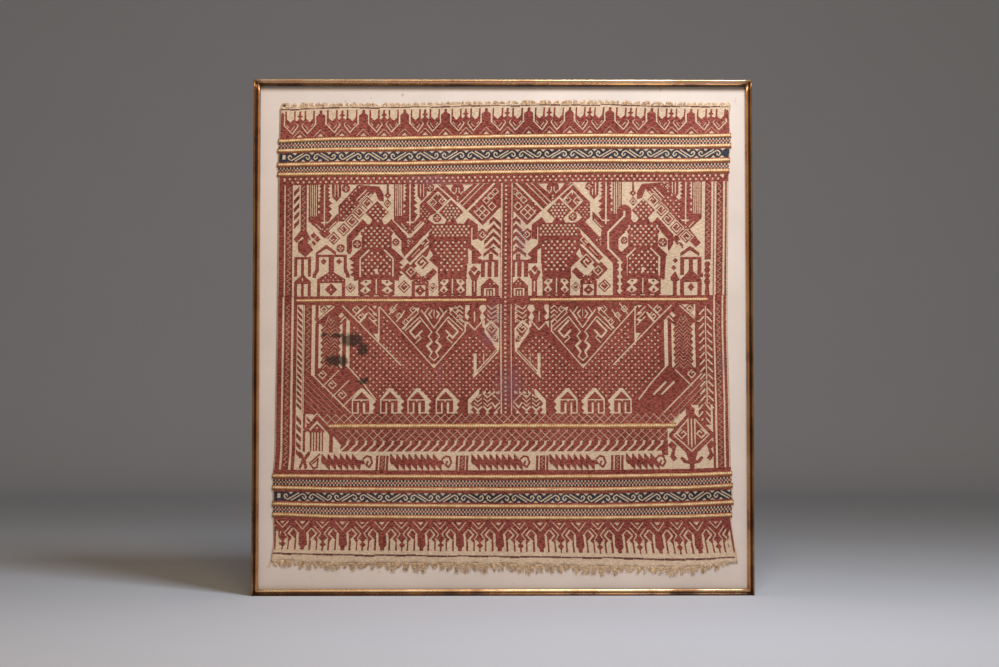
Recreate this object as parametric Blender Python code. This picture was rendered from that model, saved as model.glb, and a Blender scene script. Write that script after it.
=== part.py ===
"""Tampan cloth, laid flat on a cloth-covered board in a thin moulded frame.

The frame stands upright on its bottom rail and faces -Y, with X across and Z up.
The origin is on the surface it stands on, under the middle of the frame.
The cloth is one woven sheet with gold ribs across it. Its cut warp ends make a short
fringe along the top and a longer one along the bottom, each a row of locks on a strip.
"""
import math
import random

import bmesh
import bpy
from mathutils import Vector

MM = 0.001
GAP = 0.3 * MM                  # left between pieces that touch

# Frame: its outer size and the moulding's face, from the outer edge inwards
FRAME_WIDTH = 790.0 * MM
FRAME_HEIGHT = 815.0 * MM
FRAME_DEPTH = 50.0 * MM
FACE_WIDTH = 10.3 * MM
RIM_WIDTH = 3.0 * MM            # half-round bead along the outer edge
GROOVE_WIDTH = 2.7 * MM
GROOVE_DEPTH = 2.2 * MM
RIDGE_DROP = 0.5 * MM           # the inner ridge is this much lower than the rim
BEAD_STEPS = 6
REBATE_WIDTH = 4.0 * MM
LIP_DEPTH = 9.0 * MM            # from the front of the frame to the board's face
FRAME_FRONT = -FRAME_DEPTH / 2
FRAME_BACK = FRAME_DEPTH / 2
MITRE_SETBACK = GAP / 2 * math.sqrt(2)

# Board: it fills the rebate and carries the cloth
BOARD_THICKNESS = 12.0 * MM
BOARD_EDGE_RADIUS = 1.2 * MM
BOARD_INSET = FACE_WIDTH - REBATE_WIDTH + GAP
BOARD_FRONT = FRAME_FRONT + LIP_DEPTH + GAP

# Cloth: thickness of the ground weave and what rises from it
CLOTH_THICKNESS = 1.4 * MM
CLOTH_BACK = BOARD_FRONT - GAP
CLOTH_COLUMNS = 24
RIB_RISE = 0.8 * MM
RIB_HALF_WIDTH = 4.2 * MM
RIB_END_BULGE = 1.4 * MM        # a rib's thick weft stands out past the selvedge
THIN_RIB_RISE = 0.4 * MM
THIN_RIB_HALF_WIDTH = 2.6 * MM
COCKLE_RISE = 0.45 * MM

# Selvedges: height above the surface, left edge and right edge, in millimetres
SELVEDGES = (
    (780.0, -354.0, 363.2),
    (763.0, -354.0, 360.2),
    (724.0, -354.6, 361.5),
    (705.0, -355.9, 361.3),
    (684.0, -356.8, 358.8),
    (662.0, -356.3, 358.0),
    (592.0, -356.4, 357.2),
    (506.0, -356.8, 355.9),
    (421.0, -357.2, 355.2),
    (307.0, -358.7, 357.9),
    (220.0, -359.6, 359.3),
    (194.0, -362.1, 359.8),
    (147.0, -362.3, 362.2),
    (121.0, -361.6, 359.1),
    (79.0, -361.1, 364.4),
    (66.0, -364.1, 367.7),
    (52.0, -365.6, 369.1),
)

# Weft lines: their heights above the surface in millimetres at seven places across
PLACES_ACROSS = (-351.0, -273.0, -163.0, 3.0, 153.0, 296.0, 359.0)
WEFT_LINES = {
    "top_fringe_tips": (778.5, 778.6, 778.8, 782.7, 784.0, 780.4, 780.9),
    "woven_top": (769.7, 772.7, 773.7, 777.0, 778.4, 775.2, 775.8),
    "upper_border": (764.4, 767.4, 768.4, 771.7, 773.1, 770.3, 770.7),
    "rib_1": (716.9, 720.7, 721.7, 725.1, 726.7, 725.8, 727.0),
    "rib_2": (701.6, 704.3, 705.1, 708.3, 710.0, 709.9, 711.2),
    "rib_3": (679.2, 681.0, 681.3, 685.0, 686.7, 686.5, 688.1),
    "rib_4": (663.9, 665.1, 665.4, 668.0, 670.1, 670.1, 671.5),
    "field_top": (646.9, 648.4, 649.0, 651.3, 653.5, 653.7, 654.9),
    "upper_gold_line": (463.3, 464.2, 464.2, 465.1, 465.9, 466.0, 466.8),
    "lower_gold_line": (264.8, 265.6, 266.0, 266.0, 265.9, 266.7, 268.2),
    "field_bottom": (195.5, 194.8, 194.1, 194.3, 194.6, 196.4, 199.0),
    "rib_5": (187.5, 186.9, 186.4, 185.8, 186.4, 188.5, 191.2),
    "rib_6": (169.2, 167.0, 166.3, 165.9, 166.1, 168.7, 172.0),
    "rib_7": (143.4, 141.6, 140.6, 139.5, 139.2, 142.4, 145.7),
    "rib_8": (127.1, 123.7, 122.7, 121.3, 121.2, 123.2, 125.7),
    "lower_border": (119.5, 118.1, 117.3, 116.1, 116.1, 117.0, 119.7),
    "post_feet": (73.0, 71.4, 70.6, 69.2, 66.6, 65.2, 67.9),
    "hem_line": (66.4, 63.7, 62.5, 60.4, 58.7, 54.8, 59.4),
    "woven_bottom": (55.0, 49.5, 50.1, 49.2, 44.3, 43.4, 51.1),
    "bottom_fringe_tips": (44.8, 38.5, 36.8, 34.3, 31.0, 28.5, 45.0),
}

# Rows of the cloth from top to bottom: the weft line, what rises along it, and how many
# plain rows lie between it and the next one
CLOTH_ROWS = (
    ("woven_top", "flat", 0),
    ("upper_border", "flat", 2),
    ("rib_1", "rib", 0),
    ("rib_2", "rib", 1),
    ("rib_3", "rib", 0),
    ("rib_4", "rib", 0),
    ("field_top", "flat", 5),
    ("upper_gold_line", "upper thin rib", 5),
    ("lower_gold_line", "lower thin rib", 2),
    ("field_bottom", "flat", 0),
    ("rib_5", "rib", 0),
    ("rib_6", "rib", 1),
    ("rib_7", "rib", 0),
    ("rib_8", "rib", 0),
    ("lower_border", "flat", 2),
    ("post_feet", "flat", 0),
    ("hem_line", "flat", 0),
    ("woven_bottom", "flat", 0),
)

# Where the thin gold lines of the field run, in metres across
THIN_RIB_SPANS = {
    "upper thin rib": ((-0.327, -0.027), (0.042, 0.324)),
    "lower thin rib": ((-0.276, 0.273),),
}

# Fringes: locks of three or four threads on a narrow strip
FRINGE_THICKNESS = 1.0 * MM
STRIP_HEIGHT = 1.6 * MM
TOP_LOCKS = 90
BOTTOM_LOCKS = 110
LOCK_TAPER = 0.45
CORNER_FLARE = 8.0 * MM         # how far the lowest left lock swings out
TOP_SEED = 5
BOTTOM_SEED = 11


def clear_scene():
    for old in list(bpy.data.objects):
        bpy.data.objects.remove(old, do_unlink=True)


def material(name, colour, roughness, metallic=0.0):
    made = bpy.data.materials.new(name)
    made.use_nodes = True
    shader = made.node_tree.nodes["Principled BSDF"]
    shader.inputs["Base Color"].default_value = (*colour, 1.0)
    shader.inputs["Roughness"].default_value = roughness
    shader.inputs["Metallic"].default_value = metallic
    return made


def add_object(name, bm, collection, finish):
    bmesh.ops.recalc_face_normals(bm, faces=bm.faces)
    mesh = bpy.data.meshes.new(name)
    bm.to_mesh(mesh)
    bm.free()
    mesh.materials.append(finish)
    made = bpy.data.objects.new(name, mesh)
    collection.objects.link(made)
    return made


def moulding_profile():
    """Outline of a rail's section as (inset from the outer edge, y), front side first."""
    points = []
    bead_radius = RIM_WIDTH / 2
    for step in range(BEAD_STEPS + 1):
        angle = math.pi * step / BEAD_STEPS
        inset = bead_radius * (1 - math.cos(angle))
        points.append((inset, FRAME_FRONT + bead_radius * (1 - math.sin(angle))))
    groove_floor = FRAME_FRONT + GROOVE_DEPTH
    points.append((RIM_WIDTH + 0.25 * GROOVE_WIDTH, groove_floor))
    points.append((RIM_WIDTH + 0.75 * GROOVE_WIDTH, groove_floor))
    ridge_start = RIM_WIDTH + GROOVE_WIDTH
    ridge_radius = (FACE_WIDTH - ridge_start) / 2
    ridge_front = FRAME_FRONT + RIDGE_DROP
    for step in range(BEAD_STEPS + 1):
        angle = math.pi * step / BEAD_STEPS
        inset = ridge_start + ridge_radius * (1 - math.cos(angle))
        points.append((inset, ridge_front + ridge_radius * (1 - math.sin(angle))))
    lip_back = FRAME_FRONT + LIP_DEPTH
    points.append((FACE_WIDTH, lip_back))
    points.append((FACE_WIDTH - REBATE_WIDTH, lip_back))
    points.append((FACE_WIDTH - REBATE_WIDTH, FRAME_BACK))
    points.append((0.0, FRAME_BACK))
    return points


def add_rail(name, length, place, collection, finish):
    """A rail from its section, with both ends cut back along the mitre.

    place turns (along, inset, y) into a point of the frame.
    """
    bm = bmesh.new()
    ring = [bm.verts.new((0.0, y, inset)) for inset, y in moulding_profile()]
    section = bm.faces.new(ring)
    swept = bmesh.ops.extrude_face_region(bm, geom=[section], use_keep_orig=True)
    for vert in swept["geom"]:
        if isinstance(vert, bmesh.types.BMVert):
            vert.co.x = 1.0
    for vert in bm.verts:
        inset = vert.co.z
        reach = length / 2 - inset - MITRE_SETBACK
        along = reach if vert.co.x > 0.5 else -reach
        vert.co = place(along, inset, vert.co.y)
    return add_object(name, bm, collection, finish)


def build_frame(collection):
    gilt = material("gilt moulding", (0.58, 0.40, 0.17), 0.42, 0.6)
    middle = FRAME_HEIGHT / 2
    side = FRAME_WIDTH / 2
    rails = (
        ("frame_rail_top", FRAME_WIDTH, lambda a, i, y: Vector((a, y, FRAME_HEIGHT - i))),
        ("frame_rail_bottom", FRAME_WIDTH, lambda a, i, y: Vector((a, y, i))),
        ("frame_rail_left", FRAME_HEIGHT, lambda a, i, y: Vector((i - side, y, middle + a))),
        ("frame_rail_right", FRAME_HEIGHT, lambda a, i, y: Vector((side - i, y, middle + a))),
    )
    for name, length, place in rails:
        add_rail(name, length, place, collection, gilt)


def build_board(collection):
    linen = material("pale linen board", (0.66, 0.58, 0.53), 0.9)
    bm = bmesh.new()
    bmesh.ops.create_cube(bm, size=1.0)
    size = Vector((FRAME_WIDTH - 2 * BOARD_INSET, BOARD_THICKNESS, FRAME_HEIGHT - 2 * BOARD_INSET))
    bmesh.ops.scale(bm, vec=size, verts=bm.verts)
    centre = Vector((0.0, BOARD_FRONT + BOARD_THICKNESS / 2, FRAME_HEIGHT / 2))
    bmesh.ops.translate(bm, vec=centre, verts=bm.verts)
    bmesh.ops.bevel(bm, geom=bm.edges[:], offset=BOARD_EDGE_RADIUS, segments=1,
                    profile=0.5, affect="EDGES", material=-1)
    add_object("linen_board", bm, collection, linen)


def read_table(keys, values, key):
    """Value at key, read along straight runs between the table's rising keys."""
    if key <= keys[0]:
        return values[0]
    for low, high, first, last in zip(keys, keys[1:], values, values[1:]):
        if key <= high:
            return first + (last - first) * (key - low) / (high - low)
    return values[-1]


def selvedge(height, side):
    """X of a selvedge at a height; side is 1 for the left edge and 2 for the right."""
    rising = SELVEDGES[::-1]
    heights = [row[0] * MM for row in rising]
    edges = [row[side] * MM for row in rising]
    return read_table(heights, edges, height)


def weft_height(line, x):
    places = [place * MM for place in PLACES_ACROSS]
    heights = [height * MM for height in WEFT_LINES[line]]
    return read_table(places, heights, x)


def row_point(upper, lower, share, across, offset=0.0, bulge=0.0):
    """X and Z of the cloth at a share across, on a line between two weft lines."""
    z = weft_height(upper, 0.0)
    for _ in range(3):
        left = selvedge(z, 1) - bulge
        right = selvedge(z, 2) + bulge
        x = left + (right - left) * across
        z_upper = weft_height(upper, x)
        z = z_upper + (weft_height(lower, x) - z_upper) * share + offset
    return x, z


def hem_point(line, across, offset):
    """A point on the cloth's own straight edge between two of its columns."""
    column = min(int(across * CLOTH_COLUMNS), CLOTH_COLUMNS - 1)
    share = across * CLOTH_COLUMNS - column
    first = row_point(line, line, 0.0, column / CLOTH_COLUMNS)
    last = row_point(line, line, 0.0, (column + 1) / CLOTH_COLUMNS)
    x = first[0] + (last[0] - first[0]) * share
    return x, first[1] + (last[1] - first[1]) * share + offset


def cloth_rows():
    """Every row of the cloth from top to bottom, as a list of settings."""
    rows = []
    for index, (line, rise, plain) in enumerate(CLOTH_ROWS):
        if rise == "flat":
            rows.append((line, line, 0.0, 0.0, "flat"))
        else:
            half = RIB_HALF_WIDTH if rise == "rib" else THIN_RIB_HALF_WIDTH
            rows.append((line, line, 0.0, half, "flat"))
            rows.append((line, line, 0.0, 0.0, rise))
            rows.append((line, line, 0.0, -half, "flat"))
        for step in range(plain):
            share = (step + 1) / (plain + 1)
            rows.append((line, CLOTH_ROWS[index + 1][0], share, 0.0, "flat"))
    return rows


def rib_height(rise, x):
    if rise == "rib":
        return RIB_RISE
    for start, end in THIN_RIB_SPANS.get(rise, ()):
        if start <= x <= end:
            return THIN_RIB_RISE
    return 0.0


def cockle(x, z):
    """Slight unevenness of a flat sheet that is sewn to its board."""
    waves = math.sin(9.0 * x + 4.0 * z) * math.sin(11.0 * z - 3.0 * x)
    return COCKLE_RISE * (0.5 + 0.5 * waves)


def thicken(bm, front_faces, back):
    """Close a front of faces with a flat back at y = back."""
    made = bmesh.ops.extrude_face_region(bm, geom=front_faces, use_keep_orig=True)
    for vert in made["geom"]:
        if isinstance(vert, bmesh.types.BMVert):
            vert.co.y = back


def build_cloth(collection):
    weave = material("woven cotton", (0.42, 0.17, 0.12), 0.92)
    rows = cloth_rows()
    last_row = len(rows) - 1
    bm = bmesh.new()
    bmesh.ops.create_grid(bm, x_segments=CLOTH_COLUMNS, y_segments=last_row, size=0.5)
    for vert in bm.verts:
        across = vert.co.x + 0.5
        index = round((0.5 - vert.co.y) * last_row)
        upper, lower, share, offset, rise = rows[index]
        bulge = RIB_END_BULGE if rise == "rib" else 0.0
        x, z = row_point(upper, lower, share, across, offset, bulge)
        front = CLOTH_BACK - CLOTH_THICKNESS - cockle(x, z) - rib_height(rise, x)
        vert.co = Vector((x, front, z))
    thicken(bm, bm.faces[:], CLOTH_BACK)
    add_object("tampan_cloth", bm, collection, weave)


def build_fringe(name, root, tips, way, locks, seed, collection, finish):
    """A strip along a weft line with a row of locks on its far side.

    way is 1 for a fringe that points up and -1 for one that points down.
    """
    chance = random.Random(seed)
    bm = bmesh.new()
    bmesh.ops.create_grid(bm, x_segments=2 * locks, y_segments=1, size=0.5)
    for vert in bm.verts:
        far_side = vert.co.y * way > 0
        offset = way * (GAP + (STRIP_HEIGHT if far_side else 0.0))
        x, z = hem_point(root, vert.co.x + 0.5, offset)
        vert.co = Vector((x, CLOTH_BACK - FRINGE_THICKNESS, z))
    thicken(bm, bm.faces[:], CLOTH_BACK)
    bmesh.ops.recalc_face_normals(bm, faces=bm.faces)
    bm.normal_update()
    far_faces = [face for face in bm.faces if face.normal.z * way > 0.7]
    far_faces.sort(key=lambda face: face.calc_center_median().x)
    for index, face in enumerate(far_faces[::2]):
        centre = face.calc_center_median()
        full = abs(weft_height(tips, centre.x) - centre.z)
        reach = full * chance.uniform(0.7, 1.12)
        lean = reach * chance.uniform(-0.2, 0.2)
        if way < 0 and index == 0:
            lean = -CORNER_FLARE
        grow_lock(bm, face, Vector((lean, 0.0, way * reach)))
    add_object(name, bm, collection, finish)


def grow_lock(bm, face, step):
    """Grow one tapered lock of threads out of a face of the strip."""
    tip = bmesh.ops.extrude_discrete_faces(bm, faces=[face])["faces"][0]
    centre = tip.calc_center_median()
    for vert in tip.verts:
        vert.co = centre + (vert.co - centre) * LOCK_TAPER + step


def build_fringes(collection):
    thread = material("unbleached cotton", (0.55, 0.44, 0.29), 0.95)
    build_fringe("fringe_top", "woven_top", "top_fringe_tips", 1, TOP_LOCKS, TOP_SEED,
                 collection, thread)
    build_fringe("fringe_bottom", "woven_bottom", "bottom_fringe_tips", -1, BOTTOM_LOCKS,
                 BOTTOM_SEED, collection, thread)


def main():
    clear_scene()
    collection = bpy.data.collections.new("tampan cloth in a frame")
    bpy.context.scene.collection.children.link(collection)
    build_frame(collection)
    build_board(collection)
    build_cloth(collection)
    build_fringes(collection)


main()
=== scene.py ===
"""Looks for a tampan cloth, laid flat on a linen-covered board in a thin gilt frame.

The frame stands on its bottom rail and faces -Y, with X across and Z up, in metres.
The cloth's pattern is charted in steps: u runs from 0 at the left selvedge to 450 at the
right one, and v from 0 at the top edge of the weave to 458 at the bottom edge. Motifs are
drawn on the chart with plain shapes, and each colour's floats are then raised from it.
"""
import math
import random

import bmesh
import bpy
import numpy as np
from mathutils import Matrix, Vector, noise


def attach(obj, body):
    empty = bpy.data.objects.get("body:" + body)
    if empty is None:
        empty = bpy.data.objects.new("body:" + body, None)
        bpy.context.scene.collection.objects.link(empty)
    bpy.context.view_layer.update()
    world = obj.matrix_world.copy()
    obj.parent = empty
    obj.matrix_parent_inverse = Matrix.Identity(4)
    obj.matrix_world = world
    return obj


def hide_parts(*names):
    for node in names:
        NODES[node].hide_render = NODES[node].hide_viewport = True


bl_info = {
    "name": "Tampan Cloth in a Frame",
    "version": (1, 0, 0),
    "blender": (4, 5, 0),
    "location": "3D View > Sidebar > Tampan",
    "description": "Builds a framed supplementary-weft cloth with its board, fringes and stage",
    "category": "Object",
}

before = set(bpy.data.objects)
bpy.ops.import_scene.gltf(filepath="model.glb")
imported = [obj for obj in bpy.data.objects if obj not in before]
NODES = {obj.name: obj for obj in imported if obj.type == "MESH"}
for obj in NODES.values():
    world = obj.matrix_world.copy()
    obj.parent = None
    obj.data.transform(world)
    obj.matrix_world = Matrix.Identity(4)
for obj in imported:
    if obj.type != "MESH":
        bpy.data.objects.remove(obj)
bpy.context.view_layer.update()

MM = 0.001

# Frame and board, as the part's source has them
FRAME_WIDTH = 790.0 * MM
FRAME_HEIGHT = 815.0 * MM
FRAME_FRONT = -25.0 * MM
FRAME_BACK = 25.0 * MM
FACE_WIDTH = 10.3 * MM
REBATE_WIDTH = 4.0 * MM
LIP_DEPTH = 9.0 * MM
CLOTH_BACK = -16.0 * MM
RIM_WIDTH = 3.0 * MM             # of the rail's outer bead
BEAD_START = 5.7 * MM           # of its inner bead, past the groove
MITRE_GAP = 0.06 * MM

# Selvedges: height above the surface, left edge and right edge, in millimetres
SELVEDGES = (
    (780.0, -354.0, 363.2),
    (763.0, -354.0, 360.2),
    (724.0, -354.6, 361.5),
    (705.0, -355.9, 361.3),
    (684.0, -356.8, 358.8),
    (662.0, -356.3, 358.0),
    (592.0, -356.4, 357.2),
    (506.0, -356.8, 355.9),
    (421.0, -357.2, 355.2),
    (307.0, -358.7, 357.9),
    (220.0, -359.6, 359.3),
    (194.0, -362.1, 359.8),
    (147.0, -362.3, 362.2),
    (121.0, -361.6, 359.1),
    (79.0, -361.1, 364.4),
    (66.0, -364.1, 367.7),
    (52.0, -365.6, 369.1),
)

# Weft lines: chart row, then heights above the surface in millimetres at seven places across
PLACES_ACROSS = (-351.0, -273.0, -163.0, 3.0, 153.0, 296.0, 359.0)
WEFT_LINES = {
    "top_fringe_tips": (-3.4, 778.5, 778.6, 778.8, 782.7, 784.0, 780.4, 780.9),
    "woven_top": (0.0, 769.7, 772.7, 773.7, 777.0, 778.4, 775.2, 775.8),
    "upper_border": (3.3, 764.4, 767.4, 768.4, 771.7, 773.1, 770.3, 770.7),
    "rib_1": (32.6, 716.9, 720.7, 721.7, 725.1, 726.7, 725.8, 727.0),
    "rib_2": (43.0, 701.6, 704.3, 705.1, 708.3, 710.0, 709.9, 711.2),
    "rib_3": (57.9, 679.2, 681.0, 681.3, 685.0, 686.7, 686.5, 688.1),
    "rib_4": (67.9, 663.9, 665.1, 665.4, 668.0, 670.1, 670.1, 671.5),
    "field_top": (78.2, 646.9, 648.4, 649.0, 651.3, 653.5, 653.7, 654.9),
    "upper_gold_line": (194.6, 463.3, 464.2, 464.2, 465.1, 465.9, 466.0, 466.8),
    "lower_gold_line": (320.1, 264.8, 265.6, 266.0, 266.0, 265.9, 266.7, 268.2),
    "field_bottom": (366.7, 195.5, 194.8, 194.1, 194.3, 194.6, 196.4, 199.0),
    "rib_5": (370.7, 187.5, 186.9, 186.4, 185.8, 186.4, 188.5, 191.2),
    "rib_6": (383.5, 169.2, 167.0, 166.3, 165.9, 166.1, 168.7, 172.0),
    "rib_7": (399.9, 143.4, 141.6, 140.6, 139.5, 139.2, 142.4, 145.7),
    "rib_8": (411.3, 127.1, 123.7, 122.7, 121.3, 121.2, 123.2, 125.7),
    "lower_border": (414.7, 119.5, 118.1, 117.3, 116.1, 116.1, 117.0, 119.7),
    "post_feet": (444.5, 73.0, 71.4, 70.6, 69.2, 66.6, 65.2, 67.9),
    "hem_line": (449.7, 66.4, 63.7, 62.5, 60.4, 58.7, 54.8, 59.4),
    "woven_bottom": (457.6, 55.0, 49.5, 50.1, 49.2, 44.3, 43.4, 51.1),
    "bottom_fringe_tips": (466.4, 44.8, 38.5, 36.8, 34.3, 31.0, 28.5, 45.0),
}
LINE_ROWS = np.array([line[0] for line in WEFT_LINES.values()])
LINE_HEIGHTS = np.array([line[1:] for line in WEFT_LINES.values()]) * MM
PLACES = np.array(PLACES_ACROSS) * MM
EDGE_HEIGHTS = np.array([row[0] for row in SELVEDGES[::-1]]) * MM
LEFT_EDGES = np.array([row[1] for row in SELVEDGES[::-1]]) * MM
RIGHT_EDGES = np.array([row[2] for row in SELVEDGES[::-1]]) * MM

RIBS = ("rib_1", "rib_2", "rib_3", "rib_4", "rib_5", "rib_6", "rib_7", "rib_8")
RIB_HALF_WIDTH = 3.9 * MM
RIB_END_BULGE = 1.4 * MM

RIB_RISE = 1.3 * MM
THIN_LINE_RISE = 0.9 * MM
CORD_SINK = 0.2 * MM            # of a gold weft's edge into the weave
TIE_PITCH = 3.9 * MM            # of the ties that slant over a gold weft

# Thin gold lines of the field: chart row, where each starts and ends across in metres, and
# half its height
THIN_GOLD_LINES = (
    (194.6, -0.327, -0.027, 3.3 * MM),
    (194.6, 0.042, 0.324, 3.3 * MM),
    (320.1, -0.276, 0.273, 4.8 * MM),
)
COTTON_PITCH = 0.95 * MM        # from thread to thread
LINEN_PITCH = 0.8 * MM
COCKLE_RISE = 0.45 * MM
GROUND_THICKNESS = 1.1 * MM     # of the plain weave under the floats

BACKDROP_START = 3.6            # metres behind the frame, past any camera that goes round it
BACKDROP_CURVE = 0.8
CAMERA_PLACE = (-0.03901, -3.0, 0.28856)
CAMERA_TURNS = (0.04137, 0.01113, -0.00018)    # pitch, yaw and roll in radians


# Where a step of the chart lies on the cloth

def cloth_places(u, v):
    """X and Z of chart steps, as two arrays."""
    u = np.asarray(u, float)
    v = np.asarray(v, float)
    upper = np.clip(np.searchsorted(LINE_ROWS, v, side="right") - 1, 0, len(LINE_ROWS) - 2)
    share = (v - LINE_ROWS[upper]) / (LINE_ROWS[upper + 1] - LINE_ROWS[upper])
    z = LINE_HEIGHTS[upper, 3]
    x = np.zeros_like(z)
    for _ in range(3):
        left = np.interp(z, EDGE_HEIGHTS, LEFT_EDGES)
        right = np.interp(z, EDGE_HEIGHTS, RIGHT_EDGES)
        x = left + (right - left) * u / STEPS_ACROSS
        place = np.clip(np.searchsorted(PLACES, x, side="right") - 1, 0, len(PLACES) - 2)
        part = (x - PLACES[place]) / (PLACES[place + 1] - PLACES[place])
        part = np.clip(part, 0.0, 1.0)
        above = LINE_HEIGHTS[upper, place] * (1 - part) + LINE_HEIGHTS[upper, place + 1] * part
        below = LINE_HEIGHTS[upper + 1, place] * (1 - part) + LINE_HEIGHTS[upper + 1, place + 1] * part
        z = above + (below - above) * share
    return x, z


def cloth_front(x, z):
    """Y of the plain weave's front, which cockles a little where the cloth is sewn down."""
    waves = np.sin(9.0 * x + 4.0 * z) * np.sin(11.0 * z - 3.0 * x)
    return CLOTH_BACK - GROUND_THICKNESS - COCKLE_RISE * (0.5 + 0.5 * waves)


CELLS = 3                 # chart cells in one step of the pattern
STEPS_ACROSS = 450
STEPS_DOWN = 458
GROUND, RED, NAVY, PLUM = 0, 1, 2, 3

# Chart rows where the fields begin and end, and where the mirrored half of the hull starts
UPPER_TOP, UPPER_FOOT = 78.2, 190.4
MIDDLE_TOP, MIDDLE_FOOT = 198.6, 307.6
LOWER_FOOT = 366.9
FAR_HULL = 459


class Chart:
    """The cloth's pattern as cells, each showing the ground or one colour of float."""

    def __init__(self):
        self.cells = np.zeros((STEPS_DOWN * CELLS, STEPS_ACROSS * CELLS), np.uint8)

    def window(self, u0, v0, u1, v1):
        rows, columns = self.cells.shape
        c0 = min(max(int(math.floor(u0 * CELLS)), 0), columns)
        r0 = min(max(int(math.floor(v0 * CELLS)), 0), rows)
        c1 = max(min(int(math.ceil(u1 * CELLS)), columns), c0)
        r1 = max(min(int(math.ceil(v1 * CELLS)), rows), r0)
        u = (np.arange(c0, c1) + 0.5) / CELLS
        v = (np.arange(r0, r1) + 0.5) / CELLS
        return (slice(r0, r1), slice(c0, c1)), u[None, :], v[:, None]

    def block(self, u0, v0, u1, v1, thread=RED):
        where, u, v = self.window(u0, v0, u1, v1)
        self.cells[where][(u > u0) & (u < u1) & (v > v0) & (v < v1)] = thread

    def shape_mask(self, points):
        us = [p[0] for p in points]
        vs = [p[1] for p in points]
        where, u, v = self.window(min(us), min(vs), max(us), max(vs))
        inside = np.zeros((v.shape[0], u.shape[1]), bool)
        for (u0, v0), (u1, v1) in zip(points, points[1:] + points[:1]):
            if v0 != v1:
                crosses = (v0 <= v) != (v1 <= v)
                inside ^= crosses & (u < u0 + (v - v0) * (u1 - u0) / (v1 - v0))
        return where, inside

    def shape(self, points, thread=RED):
        where, inside = self.shape_mask(list(points))
        self.cells[where][inside] = thread

    def stroke(self, points, width=1.0, thread=GROUND):
        half = width / 2
        for (u0, v0), (u1, v1) in zip(points, points[1:]):
            where, u, v = self.window(min(u0, u1) - half, min(v0, v1) - half,
                                      max(u0, u1) + half, max(v0, v1) + half)
            du, dv = u1 - u0, v1 - v0
            length = max(du * du + dv * dv, 1e-9)
            along = np.clip(((u - u0) * du + (v - v0) * dv) / length, 0.0, 1.0)
            near = np.hypot(u - u0 - along * du, v - v0 - along * dv)
            self.cells[where][near <= half] = thread

    def dots(self, points, across=6.0, down=3.0, size=1.6, margin=1.2, thread=GROUND):
        """Staggered dots inside a shape."""
        where, inside = self.shape_mask(list(points))
        rows, columns = inside.shape
        edge = int(margin * CELLS)
        n = int(round(size * CELLS))
        r0, c0 = where[0].start, where[1].start
        first_row = int(r0 / CELLS / down)
        first_column = int(c0 / CELLS / across)
        for j in range(first_row, first_row + int(rows / CELLS / down) + 2):
            for i in range(first_column - 1, first_column + int(columns / CELLS / across) + 3):
                u = i * across + (0.5 * across if j % 2 else 0.0)
                r = int(round(j * down * CELLS)) - r0
                c = int(round(u * CELLS)) - c0
                if r < edge or c < edge or r + n + edge > rows or c + n + edge > columns:
                    continue
                if inside[r - edge:r + n + edge, c - edge:c + n + edge].all():
                    self.cells[where][r:r + n, c:c + n] = thread


class Pen:
    """Draws on the chart from a motif's own origin, mirrored where side is -1."""

    def __init__(self, chart, u, v, side=1):
        self.chart = chart
        self.u = u
        self.v = v
        self.side = side

    def move(self, du, dv=0.0, side=1):
        return Pen(self.chart, self.u + self.side * du, self.v + dv, self.side * side)

    def at(self, points):
        return [(self.u + self.side * du, self.v + dv) for du, dv in points]

    def block(self, du0, dv0, du1, dv1, thread=RED):
        (ua, va), (ub, vb) = self.at([(du0, dv0), (du1, dv1)])
        self.chart.block(min(ua, ub), va, max(ua, ub), vb, thread)

    def shape(self, points, thread=RED):
        self.chart.shape(self.at(points), thread)

    def twin(self, points, thread=RED):
        """A shape and its mirror image about the motif's own axis."""
        self.shape(points, thread)
        self.shape([(-du, dv) for du, dv in points], thread)

    def stroke(self, points, width=1.0, thread=GROUND):
        self.chart.stroke(self.at(points), width, thread)

    def twin_stroke(self, points, width=1.0, thread=GROUND):
        self.stroke(points, width, thread)
        self.stroke([(-du, dv) for du, dv in points], width, thread)

    def dots(self, points, across=6.0, down=3.0, size=1.6, margin=1.2):
        self.chart.dots(self.at(points), across, down, size, margin)

    def diamond(self, wide, tall, thread=RED):
        self.shape([(0, -tall), (wide, 0), (0, tall), (-wide, 0)], thread)

    def diamond_at(self, du, dv, half):
        self.move(du, dv).diamond(half, half)

    def ring(self, half, width=1.0):
        self.stroke([(0, -half), (half, 0), (0, half), (-half, 0), (0, -half)], width)


# Small motifs that recur all over the cloth

def spiral(pen, size, heading=45, turn=1, width=1, thread=GROUND, sides=(1, 1, 1, 0.6, 0.42)):
    """A square spiral whose first side runs along heading, in degrees."""
    angle = math.radians(heading)
    ahead = (math.cos(angle), math.sin(angle))
    aside = (-ahead[1] * turn, ahead[0] * turn)
    du = -size / 2 * (ahead[0] + aside[0])
    dv = -size / 2 * (ahead[1] + aside[1])
    points = [(du, dv)]
    for length in sides:
        du += ahead[0] * size * length
        dv += ahead[1] * size * length
        points.append((du, dv))
        ahead, aside = aside, (-ahead[0], -ahead[1])
    pen.stroke(points, width, thread)


def key_diamond(pen, half=6.5, heading=45, turn=1, rim=0):
    if rim:
        pen.diamond(half + rim, half + rim, GROUND)
    pen.diamond(half, half)
    spiral(pen, half * 0.94, heading, turn, 1.25)


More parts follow.
